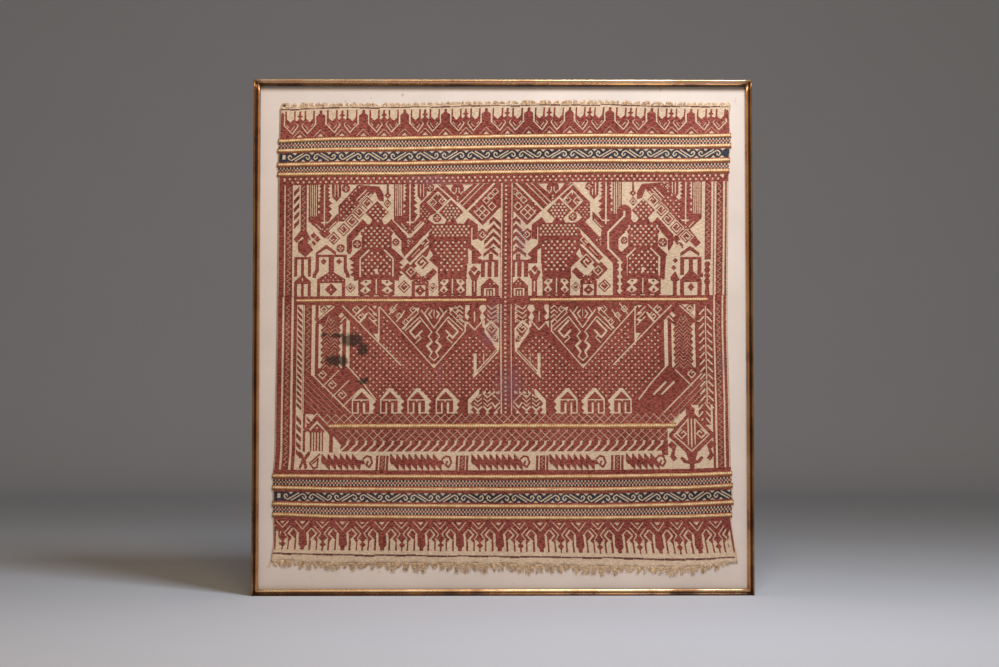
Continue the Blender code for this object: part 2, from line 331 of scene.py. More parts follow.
def rosette(pen, radius=4):
    """Four broad petals parted by a cross, with a bud at the end of each gap."""
    cut = radius * 0.42
    pen.shape([(-cut, -radius), (cut, -radius), (radius, -cut), (radius, cut),
               (cut, radius), (-cut, radius), (-radius, cut), (-radius, -cut)])
    pen.stroke([(-radius, 0), (radius, 0)], 1.3)
    pen.stroke([(0, -radius), (0, radius)], 1.3)
    for du, dv in ((0, 0), (radius, 0), (-radius, 0), (0, radius), (0, -radius)):
        pen.diamond_at(0.82 * du, 0.82 * dv, 0.95)


def zigzag(pen, depth, width=3.4, pitch=5.4, line=0.5):
    points = [((0.5 - k % 2) * width, k * pitch / 2) for k in range(int(depth / pitch * 2) + 1)]
    pen.stroke(points, line)


def twisted_column(pen, width, pitch, depth, lean=1):
    """Slanted bars of red down a plain column, like a barber's pole."""
    pen.block(0, 0, width, depth, GROUND)
    drop = width * 0.85
    for k in range(int((depth - drop) / pitch)):
        top = k * pitch + 1
        near, far = (drop, 0) if lean > 0 else (0, drop)
        pen.shape([(0.7, top + near), (width - 0.7, top + far), (width - 0.7, top + far + pitch * 0.56),
                   (0.7, top + near + pitch * 0.56)])


def striped_block(pen, width, depth, lines):
    pen.block(0, 0, width, depth)
    for k in range(lines):
        du = width * (k + 0.95) / (lines + 0.9)
        pen.stroke([(du, 0.5), (du, depth - 1.5)], 0.95)


def plume(pen, depth):
    """A hanging plume, finely toothed above and deeply below."""
    side = []
    for k in range(int(depth * 0.42 / 3.9)):
        side += [(3.4, 3.9 * k), (5.6, 3.9 * k + 1.9)]
    fine = side[-1][1] + 2
    for k in range(int((depth - fine) / 5.9)):
        side += [(3.9, fine + 5.9 * k), (7.6, fine + 5.9 * k + 3.4)]
    side.append((3.9, depth))
    pen.twin([(0, 0)] + side + [(0, depth)])
    pen.stroke([(0, 0.5), (0, depth + 3.6)], 1.5)


def bell(pen, depth=14):
    pen.shape([(-4.6, 0), (4.6, 0), (4.6, depth - 2), (0, depth + 3.5), (-4.6, depth - 2)])
    pen.twin_stroke([(1.5, 0.5), (1.5, depth - 1.5)], 1)


def pendant_group(pen, legs=True):
    """A plume between a striped block and a bell, gathered into a crossing below.

    The plume hangs on the pen's axis and the bell on its far side.
    """
    pen.shape([(-15.9, 33), (-6.5, 33), (-3, 39), (3.6, 39), (13.6, 29), (13.6, 37.5), (0, 51),
               (-15.9, 36.5)])
    if legs:
        pen.shape([(-3.4, 46), (2.6, 46), (2.6, 51.5), (-10.6, 65), (-15.4, 60.6)])
        pen.shape([(-2.6, 46), (3.4, 46), (13.4, 56.4), (9.2, 60.8), (-1.4, 50.4)])
    striped_block(pen.move(-15.9), 9.4, 33, 4)
    plume(pen, 37.6)
    bell(pen.move(12))
    pen.stroke([(-8.4, 39.6), (-3.4, 44.8)], 1)
    pen.stroke([(11.6, 37.4), (4.4, 44.8)], 1)
    pen.dots([(-7, 43), (7, 43), (0, 53)], 4.6, 2.4, 1.5, 0.3)


def small_gable(pen, half, rise, thick):
    """A roof of two thick slopes."""
    pen.shape([(-half, rise + thick), (-half, rise), (0, 0), (half, rise), (half, rise + thick),
               (0, thick * 1.3)])


def comb(pen, half, depth, legs=3, leg=3, head=2):
    """A bar with legs that hang from it."""
    pen.block(-half, 0, half, head)
    for k in range(legs):
        du = -half + (2 * half - leg) * k / (legs - 1)
        pen.block(du, 0, du + leg, depth)


def pavilion(pen, half, depth):
    """A gabled house on two legs with a key in its doorway."""
    eave = half * 0.62
    pen.shape([(0, 0), (half, eave), (half, depth), (half - 3.2, depth), (half - 3.2, eave + 3.5),
               (-half + 3.2, eave + 3.5), (-half + 3.2, depth), (-half, depth), (-half, eave)])
    door = pen.move(0, (eave + 3.5 + depth) / 2)
    reach = (depth - eave - 3.5) / 2 - 0.5
    door.diamond(reach, reach)
    door.block(-0.9, -0.9, 0.9, 0.9, GROUND)
    pen.dots([(-half + 1, eave), (0, 0.5), (half - 1, eave), (half - 1, eave + 3.5),
              (-half + 1, eave + 3.5)], 5, 2.8, 1.4, 0.5)


def gate(pen, half, depth):
    """A flat-topped gate with splayed feet round a narrow house."""
    pen.block(-half, 0, half, 2.4)
    for side in (-1, 1):
        leg = pen.move(side * half, 0, side)
        leg.shape([(0, 0), (0, depth * 0.62), (3, depth * 0.86), (3, depth), (-0.6, depth),
                   (-0.6, depth * 0.9), (-3.2, depth * 0.7), (-3.2, 0)])
    pen.block(-2.6, 0, 2.6, depth * 0.74)
    pen.move(-half * 0.5, 6.8).diamond(2.9, 3.2)
    pen.move(half * 0.5, 6.8).diamond(2.9, 3.2)


# The standing figures of the upper field, with du growing away from the pole

def dotted_head(pen, half=11.6, across=5.2):
    """A lozenge head full of dots, on a neck that spreads to the shoulders."""
    pen.shape([(0, -half - 2.6), (half + 2.8, 0), (0, half + 2.6), (-half - 2.8, 0)], GROUND)
    pen.diamond(half, half)
    pen.shape([(-4.6, half - 4.4), (4.6, half - 4.4), (7.4, half + 1.4), (-7.4, half + 1.4)])
    pen.dots([(0, -half), (half, 0), (0, half), (-half, 0)], across, 3, 1.9, 0.3)


def legs_panel(pen, half, depth):
    """The foot of a figure: bow-tie openings on both sides of a slit."""
    pen.block(-half, 0, half, depth)
    pen.stroke([(0, 1.5), (0, depth - 3)], 1.4)
    for side in (-1, 1):
        knot = pen.move(side * half * 0.58, depth * 0.46, side)
        wide = half * 0.3
        knot.shape([(-wide, -6.6), (wide * 0.2, -6.6), (wide, -3), (0.6, -0.4), (wide, 4.2), (0, 7.4),
                    (-wide, 3.6), (-0.8, -0.4), (-wide, -3.6)], GROUND)
        knot.move(0, 4.4).diamond(1.7, 2.2)
        knot.move(-0.4, -4.6).diamond(1.5, 1.4)
        knot.move(wide + 1.6, 5.8).block(-0.7, -0.7, 0.9, 0.7, GROUND)
    pen.twin_stroke([(half - 0.3, 2), (half - 0.3, depth - 1.5)], 1)
    pen.stroke([(-half, depth - 0.6), (half, depth - 0.6)], 0.8)
    for k in range(4):
        pen.move(-half + (k + 0.5) * half / 2, depth - 0.6).block(-2.4, -0.6, 2.4, 0.6, RED)


def mantled_figure(pen):
    """A figure with a dotted mantle, a chain of keys and a domed skirt."""
    mantle = [(19, 0.5), (-2, 2.4), (-6.6, 10.6), (-6.6, 17.4), (-1.4, 16.2), (1.6, 8), (9, 6.6),
              (17, 14.6), (14.4, 21.6), (30, 37.2), (38.4, 37.2), (38.4, 21.4)]
    pen.shape(mantle)
    pen.dots([(33, 17), (38.4, 21.4), (38.4, 36), (31.5, 37), (17.5, 23.6), (24, 11)], 5.4, 3.1, 1.8, 0.3)
    for k in range(4):
        pen.move(18 + 3.4 * k, 3 + 3.4 * k).block(-0.8, -0.8, 0.8, 0.8, GROUND)
    pen.shape([(9.4, 4.6), (21.6, 16.8), (16, 21.6), (2.6, 8.6)])
    for k in range(4):
        pen.stroke([(20.6 - 2.5 * k, 15.6 + 2 * k), (10.8 - 2.5 * k, 5.8 + 2 * k)], 1.15)
    for du, dv, heading in ((10, 18.8, 45), (17.9, 28, 135), (25, 37, 45), (33.2, 45.4, 135),
                            (43, 54.2, 225)):
        key_diamond(pen.move(du, dv), 6.7, heading, 1, 1.3)
    pen.move(-10.6, 0).block(-0.9, 0, 0.9, 9)
    pen.move(-10.6, 11.2).diamond(3.4, 3.4)
    pen.move(-10.6, 11.2).diamond(1, 1, GROUND)
    pen.move(-10.4, 19.4).diamond(3.8, 4.8)
    spiral(pen.move(-10.4, 19.4), 3.4, 45, 1, 0.9)
    dotted_head(pen.move(0, 28.4))
    pen.shape([(-17, 41), (-14.4, 34.8), (-9.6, 40), (9.6, 40), (14.4, 34.8), (17, 41), (17, 47), (15, 52),
               (15, 67), (-15, 67), (-15, 52), (-17, 47)])
    arm = [(14.2, 35), (30.2, 52.4), (30.2, 66), (28.6, 69.8), (26, 69.8), (24.6, 66),
           (24.6, 56.4), (14.6, 46.4)]
    pen.twin(arm)
    pen.twin_stroke([(14.6, 52.4), (17.6, 49.2), (13.6, 45)], 1)
    pen.dots([(-16, 40.5), (16, 40.5), (14.5, 52), (14.5, 66), (-14.5, 66), (-14.5, 52)], 5.6, 3.1, 2, 0.4)
    rosette(pen.move(19.6, 60), 4.3)
    rosette(pen.move(-19, 58), 3.4)
    rosette(pen.move(36, 64), 4)
    skirt = [(0, 64), (15.5, 64), (27.4, 74.6)]
    for k in range(3):
        skirt += [(22.6, 78.4 + 4.8 * k), (26.4, 81 + 4.8 * k)]
    skirt += [(22.4, 93), (22.4, 96.4), (0, 96.4)]
    pen.twin(skirt)
    pen.twin_stroke([(16.4, 92), (16.4, 74.4), (7.8, 66)], 1.8)
    pen.dots([(-15.6, 75), (-7, 67), (7, 67), (15.6, 75), (15.6, 93), (-15.6, 93)], 6, 3.4, 2, 0.5)
    pen.block(-1.4, 84.4, 1.4, 89.6, GROUND)
    legs_panel(pen.move(0, 94), 18.9, 18.2)


def broad_figure(pen):
    """A figure with a broad dotted body, banners on one side and a panelled wing by the pole."""
    far_band(pen)
    # The mushroom-shaped bell over the head
    pen.shape([(11, 0.6), (-29, 0.6), (-7, 22)])
    for side, lean in ((1, 0), (-1, 3)):
        gap = pen.move(-6.4, 0, side)
        gap.shape([(4.6, 1), (12.6 + lean, 1), (5.6, 9.2), (6.4, 4.6)], GROUND)
        gap.stroke([(1.3, 4.4), (1.3, 8), (3.4, 10.6), (5, 8)], 1)
    for k in range(3):
        pen.move(-6.4, 13.2 + 2.8 * k).block(-0.8, -0.8, 0.8, 0.8, GROUND)
    # The wing by the pole, with rings and panes
    pen.shape([(-7, 20.5), (-27, 0.6), (-49.6, 0.6), (-49.6, 24.2), (-31.8, 42.4), (-9, 20.4)])
    pen.stroke([(-7.4, 20.6), (-27.6, 0.6)], 1.1)
    pen.stroke([(-10.4, 23.2), (-33, 0.6)], 1.1)
    pen.stroke([(-15.4, 28), (-42.6, 0.8)], 2.2)
    for k in range(3):
        pen.move(-35.2 - 4.4 * k, 17.2 - 4.4 * k).ring(3.3, 1)
    pen.move(-40.9, 23.2).ring(4, 1.1)
    pane = pen.move(-31.3, 29.4)
    pane.ring(7.4, 1.2)
    pane.stroke([(-3.7, -3.7), (3.7, 3.7)], 1.1)
    pane.stroke([(3.7, -3.7), (-3.7, 3.7)], 1.1)
    for k in range(4):
        pen.move(-23.6 - 2.4 * (k % 2), 27.8 - 3 * k).block(-0.8, -0.8, 0.8, 0.8, GROUND)
    # Nested chevrons between the wing and the towers
    for k in range(5):
        top = 33.5 + 7.4 * k
        low = 4.4 + 2.4 * k
        pen.shape([(-49.8, top + 7), (-42.6, top), (-42.6 + low, top + low), (-42.6 + low, top + low + 4.2),
                   (-42.6, top + 4.2), (-49.8, top + 11.2)])
    pen.stroke([(-49.8, 24.4), (-31.8, 43), (-16, 27.6)], 1.3)
    pen.stroke([(-31.8, 43), (-36.4, 47.6)], 1.3)
    pen.shape([(-27.4, 48), (-31.6, 45), (-37.6, 51), (-30.6, 58), (-27.4, 55.4)])
    spiral(pen.move(-31.8, 51.4), 4.6, 45, -1, 1.1)
    # Two long plain lines that cross over the head
    pen.stroke([(13.4, 2.4), (-19, 31.6), (-33, 44.4)], 1.6)
    dotted_head(pen.move(0, 28.4), 12.2, 3.7)
    # Body and arms
    body = [(22.6, 35.8), (17, 40), (-13, 40), (-17, 34.6), (-27, 41.6), (-27, 55.4), (-21.6, 56.6),
            (-21.6, 61.4), (-31.6, 71), (-27.2, 74.4), (-32, 78.8), (-23, 86.6), (-17.2, 80),
            (-15.6, 95), (12.6, 95), (12.6, 84), (21.6, 76), (17.4, 71), (22, 64), (22, 46)]
    pen.shape(body)
    pen.dots([(19, 40), (-20, 40), (-20, 55), (21, 55)], 4.4, 3, 1.9, 0.4)
    pen.dots([(21, 55), (-20, 55), (-15.6, 70), (-14.5, 90), (11, 90), (11.6, 80), (16.8, 70)], 5.8, 3.4,
             2, 0.4)
    pen.stroke([(-21, 44.6), (-21, 60.6), (-31.4, 70.4)], 1.3)
    pen.shape([(-17.4, 64.6), (-21, 67), (-21, 81), (-17.6, 87)], GROUND)
    banners(pen)
    legs_panel(pen.move(-1.9, 93.6), 14.6, 18.6)
    fork = pen.move(-23.8, 0)
    fork.shape([(-6.6, 80), (7, 80), (7, 112), (-5, 112)], GROUND)
    fork.diamond_at(0.4, 85.4, 3.4)
    fork.shape([(6.2, 88.6), (3.4, 86.4), (0, 92), (-3.8, 86.6), (-6.6, 88.8), (-2.6, 96.6), (-2.6, 112.2),
                (2.6, 112.2), (2.6, 96.6)])
    fork.block(-0.6, 97.6, 0.6, 108, GROUND)
    pole_side_towers(pen.move(-39.2, 72))


def far_band(pen):
    """The band that climbs on a figure's far side, with two keys in a ring, dots and a rosette."""
    pen.shape([(13, 0.5), (31.2, 19), (31.2, 34.6), (22, 43.8), (12, 34), (0, 18), (2, 8)])
    pen.stroke([(13.2, 1.6), (31.8, 20.2)], 1)
    pen.move(13.2, 18.6).ring(10.4, 1.3)
    pen.stroke([(13.2, 9), (13.2, 12)], 1.2)
    spiral(pen.move(18, 18.6), 5.2, 225, 1, 1)
    spiral(pen.move(8.8, 17.4), 5, 45, 1, 1)
    pen.dots([(31, 20), (31, 34.4), (23, 43), (14.5, 33), (25, 20.6)], 4, 2.5, 1.4, 0.3)
    pen.shape([(20.4, 31.6), (9, 27), (6, 39.4), (19.4, 39.4), (23.4, 35.4)], GROUND)
    rosette(pen.move(13.8, 34.2), 4.2)


def banners(pen):
    """Slanting banners, keys and a roofed house that fill the space beside the broad figure."""
    pen.shape([(22.6, 35.8), (48.4, 62.6), (46.6, 73), (19.6, 46.4)])
    pen.move(42.4, 57.6).diamond(5.2, 5.2, GROUND)
    rosette(pen.move(42.4, 57.6), 3.6)
    pen.stroke([(19.4, 45.4), (46.2, 73.6)], 1.2)
    pen.shape([(20.6, 50), (44.4, 74.6), (40.4, 79), (19.6, 58.4)])
    spiral(pen.move(26.6, 57.4), 7, 225, 1, 1.2)
    pen.stroke([(31, 64.8), (38.6, 72.8)], 0.9)
    pen.stroke([(23.6, 62), (42.6, 81)], 1.1)
    pen.shape([(19.6, 60.6), (40.6, 81.4), (37, 85), (22.6, 71)])
    key = pen.move(27.8, 79.4)
    key.diamond(8.6, 8.6, GROUND)
    spiral(key, 6.6, 225, 1, 2, RED, (1.1, 1.1, 1, 0.6, 0.5))
    pen.shape([(36.8, 84.6), (42.6, 79), (49.6, 86), (39.8, 96.2), (20.6, 96.2), (13.4, 88.4), (17.4, 84.4),
               (25.6, 92), (29.8, 92)])
    pane = pen.move(39.6, 87.6)
    pane.ring(4.6, 1.1)
    pane.diamond(1.2, 1.2, GROUND)
    pen.stroke([(33, 90.6), (30.2, 93.4), (27.4, 90.8), (24.8, 93.4)], 1)
    pavilion(pen.move(30.2, 92.4), 8.4, 19.8)
    for du, dv, half in ((46.2, 102.6, 6.6), (17.6, 103.4, 4.8)):
        key_diamond(pen.move(du, dv), half, 45, 1, 0.8)


def pole_side_towers(pen):
    """A gable, a comb and a house on top of one another beside the pole."""
    pen.shape([(-9.8, -7), (8.6, -7), (8.6, 41), (-9.8, 41)], GROUND)
    small_gable(pen.move(-1, -8), 7.6, 6.4, 3.2)
    pen.block(-3.2, -1.6, 1.2, 5)
    comb(pen.move(0.2, 4.4), 8.8, 17, 3, 4.2, 2.2)
    pen.shape([(0, 22), (9, 30.4), (9, 41), (5.4, 41), (5.4, 32.4), (-5.4, 32.4), (-5.4, 41),
               (-9, 41), (-9, 30.4)])
    pen.dots([(0, 23), (8, 30.4), (-8, 30.4)], 4.4, 2.4, 1.3, 0.3)
    comb(pen.move(0, 33.4), 3.6, 6.4, 3, 1.5, 1.3)


# Fields

def gap_between_figures(pen, width, thread):
    """One band at 45 degrees and upright that fills the room between two figures."""
    pen.stroke([(16, 0), (16, 4), (0, 20), (0, 36), (12, 48), (12, 80)], width, thread)


def upper_field(chart):
    top, foot = UPPER_TOP, UPPER_FOOT
    for u, side, legs in ((46.4, 1, True), (131.6, 1, False), (327.5, -1, False), (407.3, -1, True)):
        pendant_group(Pen(chart, u, top, side), legs)
    for u, side in ((172.7, -1), (280.5, 1)):
        broad_figure(Pen(chart, u, top, side))
    for u, side in ((98.8, -1), (365, 1)):
        mantled_figure(Pen(chart, u, top, side))
    gap = Pen(chart, 330, 108)
    gap_between_figures(gap, 14, RED)
    gap_between_figures(gap, 2, GROUND)
    for k in range(5):
        gap.move(12, 50 + 7 * k).diamond(3, 3, GROUND)
    for u, v in ((67.8, 82.5), (151.7, 82.1), (310.8, 82.8), (389, 83)):
        rosette(Pen(chart, u, v), 4)
    left_columns(chart, top, foot)
    right_columns(chart, top, foot)
    left_village(Pen(chart, 0, top), foot - top)
    right_village(Pen(chart, STEPS_ACROSS, top, -1), foot - top)
    chart.block(222.2, top, 235, foot + 1, RED)
    chart.block(0, foot, STEPS_ACROSS, 192, RED)


def left_columns(chart, top, foot):
    edge = Pen(chart, 0, top)
    deep = foot - top
    edge.block(1.2, 0, 6.2, deep)
    edge.block(7.8, 0, 14.8, deep)
    zigzag(edge.move(11.3, 2), deep - 4)
    twisted_column(edge.move(15.4), 6.8, 8.2, 47)
    edge.block(22.7, 0, 28.6, 50)
    zigzag(edge.move(25.6, 1), 48)


def right_columns(chart, top, foot):
    edge = Pen(chart, STEPS_ACROSS, top, -1)
    deep = foot - top
    edge.block(1.6, 0, 3.2, deep)
    edge.block(5.4, 0, 12, deep)
    zigzag(edge.move(8.7, 2), deep - 4)
    edge.block(14, 0, 15, deep)
    edge.block(17, 0, 23.4, 77)
    zigzag(edge.move(20.2, 2), 72)


def left_village(pen, deep):
    """Gem, gate, towers and pavilion at the foot of the left columns."""
    pen.shape([(15.2, 46), (30, 46), (30, 38), (46.5, 54), (46.5, 58), (70, 78), (72, deep), (15.2, deep)],
              GROUND)
    pen.shape([(22.7, 46), (28.6, 46), (33, 55), (29.5, 58), (24.5, 52), (18.5, 58), (15.8, 54.5)])
    for du, dv in ((35.8, 51), (39.6, 54.8), (35.4, 59.2)):
        pen.move(du, dv).diamond(3.3, 3.3)
    pen.shape([(26, 54), (33, 61.5), (35.5, 65.5), (27.5, 72.5), (20.2, 66.5), (20.2, 57)])
    pen.stroke([(30.5, 55.5), (40.5, 66.5), (51.5, 54.5)], 1.2)
    comb(pen.move(25, 72.5), 8.2, 19.5, 3, 3, 2.2)
    pen.shape([(25, 90), (33.2, 97), (33.2, deep), (30.4, deep), (30.4, 99.5), (19.6, 99.5), (19.6, deep),
               (16.8, deep), (16.8, 97)])
    pen.block(23.5, 97, 26.5, deep)
    pen.stroke([(25, 94.5), (25, 96)], 1.4)
    small_gable(pen.move(48.5, 60.5), 10, 7.5, 3)
    gate(pen.move(53.6, 70.5), 15.5, 23)
    pavilion(pen.move(53.6, 86.5), 14, deep - 86.5)
    key_diamond(pen.move(73, 103.5), 5, 45, 1)


def right_village(pen, deep):
    """House, towers and spindle at the foot of the right columns."""
    pen.shape([(17, 78), (24, 78), (24, 60), (36, 72), (54, 60), (62, 74), (64, deep), (17, deep)], GROUND)
    spindle = []
    for k in range(4):
        spindle += [(1.6, 5.6 * k), (3.2, 5.6 * k + 2.8)]
    pen.move(20.6, 79).twin([(0, 0)] + spindle + [(1.6, 24), (2.4, 30), (2.4, deep - 79), (0, deep - 79)])
    small_gable(pen.move(38, 63.5), 9.5, 7, 3.2)
    comb(pen.move(37, 74.5), 10.6, 17.5, 3, 4, 2.4)
    pen.shape([(24.8, 90), (29.4, 90), (29.4, 94.5), (24.8, 94.5)])
    pen.shape([(37, 86), (26, 97), (26, deep), (30.2, deep), (30.2, 99), (43.6, 99), (43.6, deep),
               (47.6, deep), (47.6, 97)])
    pen.move(36.8, 104).diamond(3.2, 4.4)
    pen.move(52.6, 88.5).shape([(0, 0), (4.6, 5.6), (4.6, 8.6), (2.4, 10), (2.4, deep - 88.5),
                                (-1.6, deep - 88.5), (-1.6, 10), (-4.6, 8.6)])
    for k in range(2):
        pen.move(52.6 + 1.5 * k, 78 + 7 * k).diamond(2.6, 2.6)


def middle_field(chart):
    top, foot = MIDDLE_TOP, MIDDLE_FOOT
    chart.block(0, 192, STEPS_ACROSS, foot, RED)
    for side, edge in ((1, 0), (-1, 458.5)):
        near = Pen(chart, edge, 0, side)
        near.dots([(74, top + 13), (98, top + 36), (104, top + 36), (104, top + 8), (157, top + 66),
                   (190, top + 30), (200, top + 30), (221, top + 50), (221, top + 93), (98, top + 93),
                   (74, top + 66)], 6.6, 3.4, 1.7, 0.4)
    side_border(Pen(chart, 0, top), foot - top)
    side_border_right(Pen(chart, STEPS_ACROSS, top, -1), foot - top)
    for u, side in ((156.6, 1), (305, -1)):
        lozenge(Pen(chart, u, top, side))
    for u, side in ((196.6, 1), (262, -1)):
        necked_bird(Pen(chart, u, top, side))
        fin(Pen(chart, u, top, side))
    herringbone_house(Pen(chart, 0, top))
    hull_corner(Pen(chart, 0, top), 3)
    herringbone_house(Pen(chart, FAR_HULL, top, -1))
    hull_corner(Pen(chart, FAR_HULL, top, -1), 1)
    for u, side in ((203.5, 1), (254.5, -1)):
        zigzag_block(Pen(chart, u, 283.5, side))
    for u in (85, 113, 140, 168):
        small_house(Pen(chart, u, 282.2, 1))
    for u in (289.5, 316.5, 343):
        small_house(Pen(chart, u, 282.2, -1))


def side_border(pen, deep):
    """Columns down the left edge of the middle field."""
    pen.block(0, -8, 1, deep, GROUND)
    pen.block(5.4, -8, 7.4, deep, GROUND)
    zigzag(pen.move(10.8, 0), deep - 2)
    pen.block(14.4, -8, 16.6, deep, GROUND)
    twisted_column(pen.move(20), 6.2, 6, deep, -1)
    pen.block(26.8, 0, 27.6, deep, GROUND)
    zigzag(pen.move(31.2, 2), 66, 3.6, 6)
    pen.block(34.8, 0.5, 38.4, 70.6, GROUND)


def side_border_right(pen, deep):
    pen.block(0, -8, 1.8, deep, GROUND)
    pen.block(4.4, -8, 6, deep, GROUND)
    zigzag(pen.move(9.4, 0), deep - 2)
    pen.block(12.6, -8, 14.2, deep, GROUND)
    feather = pen.move(22.2, 3)
    for k in range(14):
        feather.twin_stroke([(1.8, 7.2 * k + 3), (6, 7.2 * k + 7.6)], 1.6)
    feather.stroke([(0, 0), (0, deep - 6)], 0.8)


def herringbone_house(pen):
    """A tall gabled panel of herringbone between plain bars, with keys above it."""
    # The roof and the keys on both sides of it
    pen.stroke([(38.4, 17.8), (56.6, 2.2)], 1.5)
    pen.shape([(41.4, 0.8), (55, 0.8), (45, 10.4), (41.4, 13.6)], GROUND)
    pen.shape([(43, 1.2), (48.6, 1.2), (51.6, 4.2), (46.6, 9.2), (43, 6.2)])
    spiral(pen.move(46.8, 5), 4.4, 225, 1, 1.2)
    pen.move(39.8, 14.6).diamond(2.6, 3)
    pen.stroke([(65.4, 1.6), (123.6, 60.4)], 1.4)
    for du, dv in ((79, 5.2), (84.6, 12.4)):
        spiral(pen.move(du, dv), 5.4, 45, 1, 1.2)
    pen.stroke([(82.6, 17.6), (89.6, 9)], 2)
    pen.stroke([(76.6, 12.4), (88.6, 1.2)], 1.2)
    for k in range(3):
        pen.stroke([(91.6, 3 + 5 * k), (99.6, 11 + 5 * k)], 1.3)
        pen.shape([(94.6, 1.4 + 7 * k), (99.6, 1.4 + 7 * k), (97.4, 4.4 + 7 * k)], GROUND)
    pen.stroke([(101.6, 2.6), (101.6, 35)], 1.3)
    pen.shape([(96, 29), (102, 29), (102, 38)], GROUND)
    # The panel
    pen.block(69, 16, 72.6, 62, GROUND)
    pen.shape([(61, 11.4), (64.6, 8), (67, 10.4), (63.4, 14)], GROUND)
    pen.stroke([(63.4, 17.4), (68, 12.2), (71.2, 16.6)], 1.2)
    for k in range(7):
        top = 19.6 + 6.3 * k
        pen.shape([(41.8, top - 0.6), (43.6, top), (46, top + 3.1), (43.6, top + 6.3), (41.8, top + 6.3)],
                  GROUND)
        pen.shape([(65.4, top - 0.6), (63.8, top), (61.6, top + 3.1), (63.8, top + 6.3),
                   (65.4, top + 6.3)], GROUND)
    for k in range(14):
        top = 12 + 3.7 * k
        reach = min(8, 4.2 + 1.9 * k)
        pen.stroke([(53.7 - reach, top + 4.2), (53.7 - reach / 2, top), (53.7, top + 4.2),
                    (53.7 + reach / 2, top), (53.7 + reach, top + 4.2)], 0.42)
    pen.stroke([(71, 62), (86.6, 79), (99, 95)], 1.5)


def hull_corner(pen, keys):
    """Bars at 45 degrees from the herringbone panel to the hull's floor, with keys between them."""
    for k in range(5):
        pen.stroke([(28, 70 + 6 * k), (66 - 6 * k, 108)], 0.45)
    pen.stroke([(36, 70), (74, 108)], 1.4)
    for k in range(keys):
        key_diamond(pen.move(46 + 10 * k, 70 + 10 * k), 6, 45, 1)
        pen.stroke([(46 + 10 * k, 82 + 10 * k), (62 + 10 * k, 66 + 10 * k)], 1.2)
    for k in range(keys, 3):
        pen.stroke([(56 + 8 * k, 78), (68 + 8 * k, 90)], 2)


def lozenge(pen):
    """A hanging lozenge with two hooked lobes round a stack of small diamonds."""
    pen.stroke([(-54, 2.4), (0, 63), (31, 27), (31, 20)], 1.3)
    pen.shape([(-2.6, 59.6), (2.6, 59.6), (0, 64.4)], GROUND)
    for side in (-1, 1):
        lobe = pen.move(0, 0, side)
        lobe.stroke([(28.6, 26), (14.2, 12.6), (2.2, 27.6), (5.6, 32), (2.2, 37), (7, 41.2), (2.4, 48.6),
                     (4.6, 52), (0, 56.2)], 1.3)
        lobe.stroke([(2.4, 37.4), (6.8, 41.6), (2.4, 47.4)], 2.4)
        lobe.stroke([(14, 16.6), (24, 27.2), (18.6, 33.4), (12.2, 26.4)], 2)
        lobe.stroke([(18, 38.4), (12.8, 33.6), (15.4, 30.8)], 1.3)
        lobe.stroke([(0, 23.6), (12.6, 6)], 1.3)
        lobe.stroke([(2.4, 6.4), (5.2, 9.6), (2.4, 13.6)], 1.4)
        lobe.stroke([(5.4, 3.4), (9.6, 9.2), (5.4, 14.6)], 1.2)
        lobe.stroke([(15.6, 8.6), (31.6, 24)], 1.1)
        lobe.stroke([(17.2, 4.6), (31.4, 19)], 1.1)
        lobe.shape([(14.4, 3), (19, 3.4), (16.2, 8.6)], GROUND)
        spiral(lobe.move(21, 5.2), 4.6, 45, 1, 1.1)
    pen.stroke([(0, 5.4), (0, 12)], 0.9)
    for k in range(3):
        key = pen.move(-28.4 - 6.6 * k, 17.8 - 6.4 * k)
        key.diamond(5.4, 5.4)
        spiral(key, 4.4, 45, -1, 1.15)
        pen.stroke([(-22 - 7.4 * k, 13.2 - 6.8 * k), (-30 - 7.4 * k, 24.6 - 7.4 * k)], 1.2)
    pen.stroke([(-31.6, 24.6), (-20.2, 12.8)], 1.2)


def necked_bird(pen):
    """A long-necked bird between toothed gaps, with keys and feathers towards the pole."""
    pen.shape([(-9, 0.8), (-4.6, 0.8), (-4.6, 5), (-7.4, 9.4), (-4.4, 12.4), (-6.6, 16), (-9.4, 13)], GROUND)
    pen.shape([(6.4, 0.8), (11, 0.8), (12.6, 4.4), (8.6, 9), (11.6, 13.4), (7.6, 17.6), (5.2, 12.4),
               (7.6, 8.6), (4.6, 5)], GROUND)
    pen.stroke([(-7, 17.6), (0.6, 25.6), (7.6, 17.6)], 1.3)
    pen.shape([(-9.4, 16.6), (-6, 18.6), (-9.4, 24.4)], GROUND)
    pen.shape([(8, 17.6), (10.6, 15.6), (10.6, 24.4), (8, 22.4)], GROUND)
    pen.stroke([(0.4, 7.6), (0.4, 17.4)], 1.1)
    for k in range(4):
        pen.stroke([(-14.6, 1.6 + 4.4 * k), (-11.4, 4.4 + 4.4 * k)], 1.3)
        pen.stroke([(-14.8, 1.6 + 4.4 * k), (-17.6, 4.4 + 4.4 * k)], 1)
    for k in range(4):
        pen.stroke([(24.4, 0.6 + 4.6 * k), (17, 5 + 4.6 * k), (13.4, 1.6 + 4.6 * k)], 1.2)
        pen.shape([(24.8, 1.6 + 4.6 * k), (21.4, 3.6 + 4.6 * k), (24.8, 5.2 + 4.6 * k)], GROUND)
    pen.shape([(10.4, 21.6), (17.2, 15.6), (25, 24), (25, 44), (21, 44), (18, 38.4), (10.4, 28.6)],
              GROUND)
    pen.shape([(11.8, 24.6), (17.2, 19), (23.4, 25.4), (20.6, 29.4), (24, 33), (24, 38), (20.4, 37.6)])
    spiral(pen.move(17.6, 24.6), 5.6, 45, 1, 1.2)
    spiral(pen.move(20.8, 33.4), 3.8, 45, -1, 1.1)


